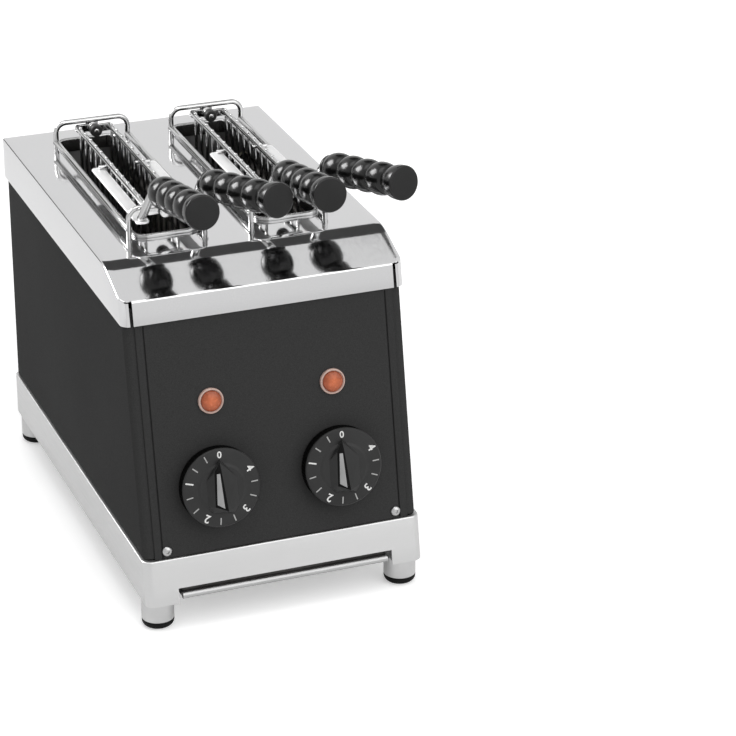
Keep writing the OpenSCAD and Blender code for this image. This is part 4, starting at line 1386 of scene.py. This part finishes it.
@dataclass
class PanelScrews:
    """Two pan-head screws with a six-sided socket."""

    x: float = 88.7
    z: float = 62.0
    shank_r: float = 2.0
    shank_l: float = 7.8
    head_r: float = 3.7
    head_h: float = 2.4
    rim_h: float = 0.5
    dome_turn: float = math.radians(62)
    socket_r: float = 1.6
    socket_rows: tuple = ((1.0, 2.28), (0.97, 1.1))
    sides: int = 48

    def head(self) -> Surface:
        """Rings from the shank over the domed head and down a six-sided socket.

        A side of the socket stands at r cos(30 degrees) / cos(angle from the side's middle).

        Returns:
            The closed surface about the screw's axis.
        """
        t, sixth = full_turn(self.sides), math.pi / 6
        hexagon = self.socket_r * math.cos(sixth) / np.cos((t + sixth) % (2 * sixth) - sixth)
        q = np.linspace(0, self.dome_turn, 8)
        dome = spread(self.head_r * np.cos(q), self.rim_h + (self.head_h - self.rim_h) * np.sin(q))
        shank = [(self.shank_r, -self.shank_l), (self.shank_r, 0.0), (self.head_r, 0.0)]
        turned, socket = np.concatenate([shank, dome]), np.array(self.socket_rows)
        r = np.concatenate([turned[:, :1] * np.ones(self.sides), socket[:, :1] * hexagon])
        z = np.concatenate([turned[:, 1:], socket[:, 1:]])
        return Surface.grid(spread(r * np.cos(t), r * np.sin(t), z), wrap_v=True, caps=True)

    def build(self) -> None:
        """Makes both screws as one piece."""
        heads = [self.head().put(BODY.panel(side.value * self.x, self.z)) for side in Side]
        Surface.join(*heads).fit("panel_screw_heads", SCREW, "body", "panel_screws")


@dataclass
class Feet:
    """Four turned foot sleeves with rubber pads."""

    x: float = 95.0
    y: float = 166.0
    r: float = 12.1
    high: float = 22.0
    pad_h: float = 6.0
    pad_bend: float = 4.4
    stud_r: float = 4.0
    stud_top: float = 29.8
    sides: int = 56

    def build(self) -> None:
        """Makes the sleeves one by one and the pads as one piece."""
        r, h, stud, pad_r = self.r, self.pad_h, self.stud_r, self.r - 0.1
        sleeve = rounded_line([(0, h, 0), (r, h, 0.5), (r, self.high, 0), (stud, self.high, 0),
                               (stud, self.stud_top, 0.4), (0, self.stud_top, 0)], steps=4)
        pad = rounded_line([(0, 0, 0), (pad_r, 0, self.pad_bend), (pad_r, h - 0.4, 0.4),
                            (r - 0.8, h, 0.2), (0, h, 0)], steps=8)
        pads = []
        for end, y in (("front", -self.y), ("rear", self.y)):
            for side in Side:
                place, name = Place((side.value * self.x, y, 0.0)), f"{end}_{side.word}_foot"
                lathe(sleeve, self.sides).put(place).fit(f"{name}_sleeve", FOOT, "body", name)
                pads.append(lathe(pad, self.sides).put(place))
        Surface.join(*pads).fit("rubber_pads", RUBBER, "body", "foot_pads")


@dataclass
class Tong:
    """A lift-out tong: carrying frame, pivots, two wire grids, two arms and two beaded grips.

    Its methods work in the slot's frame, with heights over the top plate. An eye's start and a
    grip's start and turn are given for the left and the right jaw. Two radii are an inner and an
    outer one. The rivet has a radius and a rise. The strap runs past the front hoop and past the
    cross pin, and the neck's foot stands ahead of that hoop and over the strap.
    """

    side: Side
    front: float = -60.0
    rear: float = 133.5
    rail_x: float = 29.0
    rail_h: float = 8.0
    rail_r: float = 2.5
    rail_past: float = 0.6
    hoop_low: float = 0.15
    hoop_h: float = 23.5
    hoop_r: float = 2.0
    hoop_bend: float = 8.0
    tab_half: float = 4.9
    tab_past: float = 0.6
    tab_t: float = 1.9
    pivot_h: float = 18.5
    pin_r: float = 2.0
    pin_span: tuple = (-1.8, 14.7)
    bush_r: tuple = (2.05, 4.8)
    bush_span: tuple = (8.2, 14.2)
    eye_r: tuple = (2.05, 4.2)
    eye_start: tuple = (2.2, 5.2)
    eye_w: float = 2.6
    link_x: tuple = (3.6, 13.5)
    link_half: float = 2.9
    rivet: tuple = (2.3, 1.3)
    grid_x: float = 12.5
    rod_h: float = 19.5
    rod_r: float = 2.25
    depth: float = 125.0
    foot_r: float = 1.6
    wires: int = 13
    wire_r: float = 1.2
    wire_past: float = 2.75
    finger: float = 8.6
    margin: float = 13.0
    cross_x: tuple = (9.2, 19.9)
    cross_y: float = 45.0
    cross_h: float = 17.6
    cross_r: float = 1.4
    strap_mid: float = 20.6
    strap_w: float = 10.0
    strap_low: float = 14.5
    strap_t: float = 1.6
    strap_past: tuple = (10.5, 4.0)
    strap_r: float = 3.6
    neck_r: float = 3.2
    neck_foot: tuple = (6.5, 0.4)
    neck_lead: float = 10.0
    grip_start: tuple = ((-12.0, -82.0, 44.0), (24.0, -82.0, 44.0))
    grip_turn: tuple = (math.radians(2.0), math.radians(15.0))
    grip_tilt: float = math.radians(10.0)
    grip_l: float = 94.0
    collar_l: float = 5.0
    end_l: float = 17.0
    disc_l: float = 4.0
    bead_r: float = 12.2
    waist_r: float = 8.8
    disc_r: float = 12.7
    beads: int = 4

    @property
    def slot(self) -> Place:
        """The frame at the slot's middle on the top plate."""
        return Place((self.side.value * BODY.slot_x, 0.0, BODY.height))

    @property
    def ends(self) -> tuple:
        """Frames at the two pivots, with the third axis from the hoop into the slot."""
        return (Place((0, self.front, self.pivot_h), (X_AXIS, (0, 0, -1), Y_AXIS)),
                Place((0, self.rear, self.pivot_h), (X_AXIS, Z_AXIS, (0, -1, 0))))

    def frame(self) -> Surface:
        """Two rails, a hoop of bent rod at each end and a tab under each hoop.

        Returns:
            The surface.
        """
        w, top, t, bend = self.rail_x, self.hoop_h, self.tab_half, self.hoop_bend
        y0, y1 = self.front - self.rail_past, self.rear + self.rail_past
        parts = [tube(np.linspace((x, y0, self.rail_h), (x, y1, self.rail_h), 5), self.rail_r,
                      X_AXIS, 22, 0.3) for x in (-w, w)]
        x, z = rounded_line([(-w, self.hoop_low, 0), (-w, top, bend), (w, top, bend),
                             (w, self.hoop_low, 0)], steps=10).T
        low, high = self.pivot_h - t, top + self.tab_past
        tab = plate(rounded_line([(-t, low, 3.6), (t, low, 3.6), (t, high, 0.6), (-t, high, 0.6)],
                                 True), -self.tab_t / 2, self.tab_t / 2, 0.3)
        for y in (self.front, self.rear):
            parts.append(tube(spread(x, y, z), self.hoop_r, Y_AXIS))
            parts.append(tab.put(Place((0, y, 0), (X_AXIS, Z_AXIS, (0, -1, 0)))))
        return Surface.join(*parts)

    def pins(self) -> Surface:
        """Pivot pins with rounded rivet heads.

        Returns:
            The surface.
        """
        r, (low, high) = self.pin_r, self.pin_span
        profile = rounded_line([(0, low, 0), (r, low, 0.7), (r, high, 0.7), (0, high, 0)], steps=5)
        return Surface.join(*[lathe(profile, 32).put(end) for end in self.ends])

    def ring(self, radii: tuple, low: float, high: float, edge: float, steps: int) -> Array:
        """Profile of a ring on a pin, from its bore round its outside to its bore again.

        Args:
            radii: its inner and its outer radius.
            low: where it starts along the pin.
            high: where it ends.
            edge: radius of its outer edges.
            steps: pieces in an edge.

        Returns:
            Rows of radius and height.
        """
        a, b = radii
        return rounded_line([(a, low, 0), (b, low, edge), (b, high, edge), (a, high, 0),
                             (a, low, 0)], steps=steps)

    def bushes(self) -> Surface:
        """Black spacer bushes on the pins."""
        profile = self.ring(self.bush_r, *self.bush_span, 0.9, 5)
        return Surface.join(*[lathe(profile, 40).put(end) for end in self.ends])

    def grid(self, jaw: Side) -> Surface:
        """A wire grid: two rods, upright wires with fingers, a cross pin and two pivot eyes.

        Args:
            jaw: which grid.

        Returns:
            The surface.
        """
        s, start = jaw.value, self.eye_start[jaw.index]
        x, low, top = s * self.grid_x, -self.depth, self.rod_h + self.wire_past
        rods = ((self.rod_h, start + 1.5, self.rod_r, 18, 0.5),
                (low, self.margin - 1, self.foot_r, 14, 0.6))
        parts = [tube(np.linspace((x, self.front + gap, z), (x, self.rear - gap, z), 5), r, X_AXIS,
                      sides, dome) for z, gap, r, sides, dome in rods]
        places = np.linspace(self.front + self.margin, self.rear - self.margin, self.wires)
        for n, y in enumerate(places):
            lines = [(np.linspace((x, y, low), (x, y, top), 6), X_AXIS)]
            if n % 2 == jaw.index:
                lines.append((np.linspace((x, y, low), (x - s * self.finger, y, low), 4), Y_AXIS))
            parts += [tube(line, self.wire_r, across, 12, 0.8) for line, across in lines]
        inner, outer = ((s * c, self.cross_y, self.cross_h) for c in self.cross_x)
        parts.append(tube(np.linspace(inner, outer, 4), self.cross_r, Y_AXIS, 16, 0.5))
        return Surface.join(*parts, *self.eyes(jaw))

    def eyes(self, jaw: Side) -> list:
        """A grid's pivot eyes: at each end a ring on the pin, a link to the top rod and its rivet.

        Args:
            jaw: which grid.

        Returns:
            The surfaces.
        """
        s, start = jaw.value, self.eye_start[jaw.index]
        end, q, (r, rise) = start + self.eye_w, quarter(6), self.rivet
        eye = lathe(self.ring(self.eye_r, start, end, 0.6, 4), 36)
        (x0, x1), half = sorted(s * x for x in self.link_x), self.link_half
        link = plate(rectangle(x0, x1, -half, half, 0.8, 3), start + 0.05, end - 0.05, 0.3)
        rivet = lathe(np.concatenate([[(0, 0)], spread(r * np.cos(q), rise * np.sin(q))]), 28)
        rivet = rivet.put(Place((s * self.grid_x, 0, end - 0.1)))
        return [part.put(place) for place in self.ends for part in (eye, link, rivet)]

    def arm(self, jaw: Side) -> tuple:
        """A handle arm: a flat strap with round corners, and a bent round neck.

        Args:
            jaw: which arm.

        Returns:
            The strap and the neck.
        """
        x, half, (ahead, behind) = jaw.value * self.strap_mid, self.strap_w / 2, self.strap_past
        tip, end, low = self.front - ahead, self.cross_y + behind, self.strap_low
        outline = rectangle(x - half, x + half, tip, end, self.strap_r)
        strap = plate(outline, low, low + self.strap_t, 0.45)
        aim, start = self.aim(jaw), np.array(self.grip_start[jaw.index])
        back, lift = self.neck_foot
        foot = np.array([x, self.front - back, low + self.neck_r + lift])
        path = smooth_path([foot + [0, 1.8, -0.5], foot, start - self.neck_lead * aim,
                            start + 3.0 * aim])
        return strap, tube(path, self.neck_r - 0.05, X_AXIS, 20, 0.5)

    def aim(self, jaw: Side) -> Array:
        """Direction of a grip's axis, outwards.

        Args:
            jaw: which grip.

        Returns:
            A vector at length one.
        """
        turn, flat = self.grip_turn[jaw.index], math.cos(self.grip_tilt)
        level = [math.sin(turn) * flat, -math.cos(turn) * flat]
        return np.array([*level, math.sin(self.grip_tilt)])

    def grip_place(self, jaw: Side) -> Place:
        """A grip's frame, with the third axis along the grip.

        Args:
            jaw: which grip.

        Returns:
            The frame.
        """
        aim = self.aim(jaw)
        first = unit(np.cross([0, 0, 1.0], aim))
        axes = (tuple(first), tuple(np.cross(aim, first)), tuple(aim))
        return Place(self.grip_start[jaw.index], axes)

    def grip(self) -> tuple:
        """A turned grip about its axis: collar, beads, flare and end disc.

        A bead's radius swells as the root of a sine, and the flare widens as a quarter sine.

        Returns:
            The grip, and the matte face of its end disc.
        """
        length, waist, disc = self.grip_l, self.waist_r, self.disc_r
        q = np.radians(np.linspace(-80, 70, 8))
        collar = spread(waist - 1.6 + 2.2 * np.cos(q), self.collar_l / 2 * (1 + np.sin(q)))
        t = np.linspace(0, 1, 17)[:-1]
        share = (np.arange(self.beads)[:, None] + t).ravel() / self.beads
        swell = np.sqrt(np.sin(math.pi * np.tile(t, self.beads)))
        row = spread(waist + (self.bead_r - waist) * swell,
                     self.collar_l + share * (length - self.collar_l - self.end_l))
        f = np.linspace(0, 1, 10)
        flare = spread(waist + (disc - waist) * np.sin(f * math.pi / 2),
                       length - self.end_l + f * (self.end_l - self.disc_l))
        top, low, face_r = length - 0.1, length - 0.6, disc - 1.1
        rim = rounded_line([(disc, length - self.disc_l, 0), (disc, top, 1), (0, top, 0)], steps=5)
        face = rounded_line([(0, low, 0), (face_r, low, 0), (face_r, length, 0.15), (0, length, 0)],
                            steps=3)
        return lathe(np.concatenate([[(0, 0)], collar, row, flare, rim[1:]])), lathe(face)

    def build(self) -> None:
        """Makes the tong, each piece on its own body."""
        name, slot = f"{self.side.word}_tong", self.slot
        self.frame().put(slot).fit(f"{name}_rails_and_hoops", WIRE, name, f"{name}_frame")
        self.pins().put(slot).fit(f"{name}_pivot_pins", FASTENER, name, f"{name}_pins")
        self.bushes().put(slot).fit(f"{name}_pivot_bushes", PLASTIC, name, f"{name}_bushes")
        for jaw in Side:
            part, body = f"{name}_{jaw.word}", f"{name}_{jaw.word}_jaw"
            self.grid(jaw).put(slot).fit(f"{part}_wire_grid", WIRE, body, f"{part}_grid")
            strap, neck = self.arm(jaw)
            strap.put(slot).fit(f"{part}_strap", STRAP, body, f"{part}_arm")
            neck.put(slot).fit(f"{part}_neck", WIRE, body)
            grip, face = (form.put(self.grip_place(jaw)).put(slot) for form in self.grip())
            grip.fit(f"{part}_beaded_grip", GRIP, body, f"{part}_grip")
            face.fit(f"{part}_grip_face", GRIP_FACE, body)


@dataclass
class CableGland:
    """The cable gland in the rear pocket: flange, ribbed dome nut and bore."""

    x: float = -60.0
    z: float = 88.0
    seat_y: float = 168.6
    reach: float = 184.55
    bore: float = 4.5
    nut_r: float = 11.5
    neck_r: float = 9.4
    flange_r: float = 13.0
    dome_r: float = 9.5
    nose_r: float = 8.2
    back: float = -7.2
    rib_span: tuple = (5.0, 12.0)
    ribs: int = 16
    rib_share: float = 0.03
    sides: int = 96

    def build(self) -> None:
        """Makes the gland as one turned form, with ribs as a ripple on the dome nut's radius."""
        far, bore, dome, neck = self.reach - self.seat_y, self.bore, self.dome_r, self.neck_r
        back, nut, flange, (low, high) = self.back, self.nut_r, self.flange_r, self.rib_span
        profile = rounded_line(
            [(bore, back, 0), (nut, back, 0.4), (nut, -1.4, 0.4), (neck, -1.3, 0), (neck, 0.1, 0),
             (flange, 0.1, 0.3), (flange, 4.0, 0.8), (dome, 4.1, 0), (dome, low, 0),
             (dome, high, 0), (dome, 14.0, 0), (self.nose_r, far, 1.2), (bore + 0.6, far, 0.3),
             (bore, far - 0.8, 0.3), (bore, back, 0)], steps=4)
        r, h = profile.T
        ribbed = (h > low - 0.1) & (h < high + 0.1) & (r > dome - 0.5)
        wave = (1 + np.cos(self.ribs * full_turn(self.sides))) / 2
        ripple = np.where(ribbed[:, None], 1 - self.rib_share * wave, 1.0)
        place = Place((self.x, self.seat_y, self.z), (X_AXIS, (0, 0, -1), Y_AXIS))
        gland = lathe(profile, self.sides, ripple).put(place)
        gland.fit("cord_gland", PLASTIC, "body", "cable_gland")


@dataclass
class InnerWorks:
    """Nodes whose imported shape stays: they only get their finish."""

    finishes: tuple = (
        (INNER, ("tray_runners", "front_bulkhead", "rear_bulkhead")),
        (REFLECTOR, ("left_reflector", "centre_reflector", "right_reflector")),
        (HEATER, ("left_outer_heater", "left_inner_heater", "right_inner_heater",
                  "right_outer_heater")),
        (CERAMIC, ("ceramic_sleeves", "terminal_block")),
        (CASE, ("left_timer", "right_timer")),
        (FASTENER, ("left_timer_shaft", "right_timer_shaft", "lamp_nuts")),
        (LOOM, ("wiring",)),
        (COAT, ("rear_panel",)),
    )

    def build(self) -> None:
        """Gives each node its material."""
        for finish, nodes in self.finishes:
            for node in nodes:
                data = frame["nodes"][node].data
                data.materials.clear()
                data.materials.append(finish.material())
                LOG.info("%s keeps its shape, in %s", node, finish.name)


@dataclass(frozen=True)
class SoftBox:
    """A square lamp, in metres and watts; one that isn't matte only shows as a highlight."""

    name: str
    place: tuple
    target: tuple
    size: float
    power: float
    matte: bool = True


@dataclass(frozen=True)
class Card:
    """A dark card outside the picture, in metres, for the bright metal to mirror."""

    name: str
    place: tuple
    target: tuple
    width: float
    height: float
    dark: float


@dataclass
class Studio:
    """Floor, light and camera.

    The camera's distance and aim are millimetres, its focal length is pixels of the frame, and the
    floor, lamps and cards are in metres.
    """

    azimuth: float = math.radians(-21.05)
    elevation: float = math.radians(24.59)
    distance: float = 2400.1
    focal: float = 3036.1
    frame_px: float = 736.0
    sensor: float = 36.0
    aim: tuple = (133.8, 0.6, 96.6)
    seen: float = 1.0
    fill: float = 0.62
    floor_size: float = 12.0
    floor_z: float = -0.0002
    floor_grey: float = 0.9
    floor_seen: float = 0.42
    floor_mirrored: float = 0.28
    lamps: tuple = (SoftBox("key", (1.0, -1.9, 1.5), (0, 0, 0.14), size=2.2, power=22),
                    SoftBox("top", (-0.3, -0.4, 2.6), (0, 0, 0.14), size=1.6, power=16),
                    SoftBox("window", (-1.5, 1.1, 1.5), (0, -0.12, 0.3), 1.1, 58, matte=False))
    cards: tuple = (Card("rear_card", (0.94, 2.26, 2.6), (0, -0.1, 0.26), 1.8, 1.75, dark=0.1),
                    Card("left_card", (-0.92, 2.1, 0.72), (0, 0, 0.26), 0.7, 0.75, dark=0.12))

    def sheet(self, name: str, size: tuple, z: float, recipe: Recipe) -> bpy.types.Object:
        """A flat rectangle that belongs to the stage.

        Args:
            name: name of the object.
            size: width and height in metres.
            z: height of its face in its own frame.
            recipe: its material.

        Returns:
            The object.
        """
        mesh, (x, y) = bpy.data.meshes.new(name), np.array(size) / 2
        mesh.from_pydata([(-x, -y, z), (x, -y, z), (x, y, z), (-x, y, z)], [], [[0, 1, 2, 3]])
        mesh.materials.append(recipe.owner)
        piece = show(name, mesh)
        return piece

    def floor(self) -> None:
        """A wide pale floor that keeps the shadow."""
        recipe = Recipe(bpy.data.materials.new("floor_paper"))
        path = recipe.node("LightPath", {})
        lift = recipe.combine("ADD", recipe.span(path["Is Camera Ray"], 0, self.floor_seen, 0, 1),
                              recipe.span(path["Is Glossy Ray"], 0, self.floor_mirrored, 0, 1))
        recipe.feed(Base_Color=(*grey(self.floor_grey), 1), Roughness=0.9, Specular_IOR_Level=0.0,
                    Emission_Color=(1, 1, 1, 1), Emission_Strength=lift)
        self.sheet("floor", (self.floor_size, self.floor_size), self.floor_z, recipe)

    def world(self) -> None:
        """White where it is seen or mirrored, and a softer fill where it lights."""
        bpy.context.scene.world = bpy.data.worlds.new("studio")
        recipe = Recipe(bpy.context.scene.world, "Background")
        path = recipe.node("LightPath", {})
        either = recipe.combine("MAXIMUM", path["Is Camera Ray"], path["Is Glossy Ray"])
        either = recipe.combine("MAXIMUM", either, path["Is Transmission Ray"])
        recipe.feed(Color=(1, 1, 1, 1), Strength=recipe.span(either, self.fill, self.seen, 0, 1))

    def look(self, thing: bpy.types.Object, place: Sequence[float],
             target: Sequence[float]) -> None:
        """Puts a lamp, card or camera at a place and turns it to a target.

        Args:
            thing: what is put there.
            place: the place in metres.
            target: the target in metres.
        """
        back = unit(np.asarray(place, float) - np.asarray(target, float))
        right = unit(np.cross([0, 0, 1.0], back))
        turn = np.column_stack([right, np.cross(back, right), back, place])
        thing.matrix_world = Matrix([*turn.tolist(), [0, 0, 0, 1]])

    def lamp(self, box: SoftBox) -> None:
        """Hangs a soft box.

        Args:
            box: the soft box.
        """
        data = bpy.data.lights.new(box.name, "AREA")
        data.shape, data.size, data.energy = "SQUARE", box.size, box.power
        lamp = show(box.name, data)
        lamp.visible_diffuse = box.matte
        self.look(lamp, box.place, box.target)

    def card(self, card: Card) -> None:
        """Stands a card up, where only mirrors see it.

        Args:
            card: the card.
        """
        recipe = Recipe(bpy.data.materials.new(card.name))
        recipe.feed(Base_Color=(*grey(card.dark), 1), Roughness=1.0, Specular_IOR_Level=0.0)
        piece = self.sheet(card.name, (card.width, card.height), 0.0, recipe)
        self.look(piece, card.place, card.target)
        piece.visible_camera = piece.visible_shadow = piece.visible_diffuse = False

    def camera(self) -> None:
        """The camera at the photograph's angle."""
        data = bpy.data.cameras.new("camera")
        data.sensor_width, data.lens = self.sensor, self.focal / self.frame_px * self.sensor
        data.clip_start, data.clip_end = 0.05, 50.0
        a, e = self.azimuth, self.elevation
        back = np.array([math.sin(a) * math.cos(e), -math.cos(a) * math.cos(e), math.sin(e)])
        aim, camera = np.array(self.aim) * MM, show("camera", data)
        self.look(camera, aim + back * self.distance * MM, aim)
        bpy.context.scene.camera = camera

    def build(self) -> None:
        """Sets up the studio."""
        self.floor()
        self.world()
        for box in self.lamps:
            self.lamp(box)
        for card in self.cards:
            self.card(card)
        self.camera()
        bpy.context.scene.view_settings.view_transform = "Standard"


def main() -> None:
    """Builds the toaster, piece by piece, and its studio."""
    logging.basicConfig(level=logging.INFO, format="%(message)s")
    parts = [TopCover(), BaseFrame(), Panels(), CrumbTray(), PanelScrews(), Feet(), CableGland(),
             InnerWorks()]
    parts += [kind(side) for side in Side for kind in (TimerKnob, SignalLamp, Tong)]
    for part in parts:
        part.build()
    Studio().build()


if __name__ == "__main__":
    main()
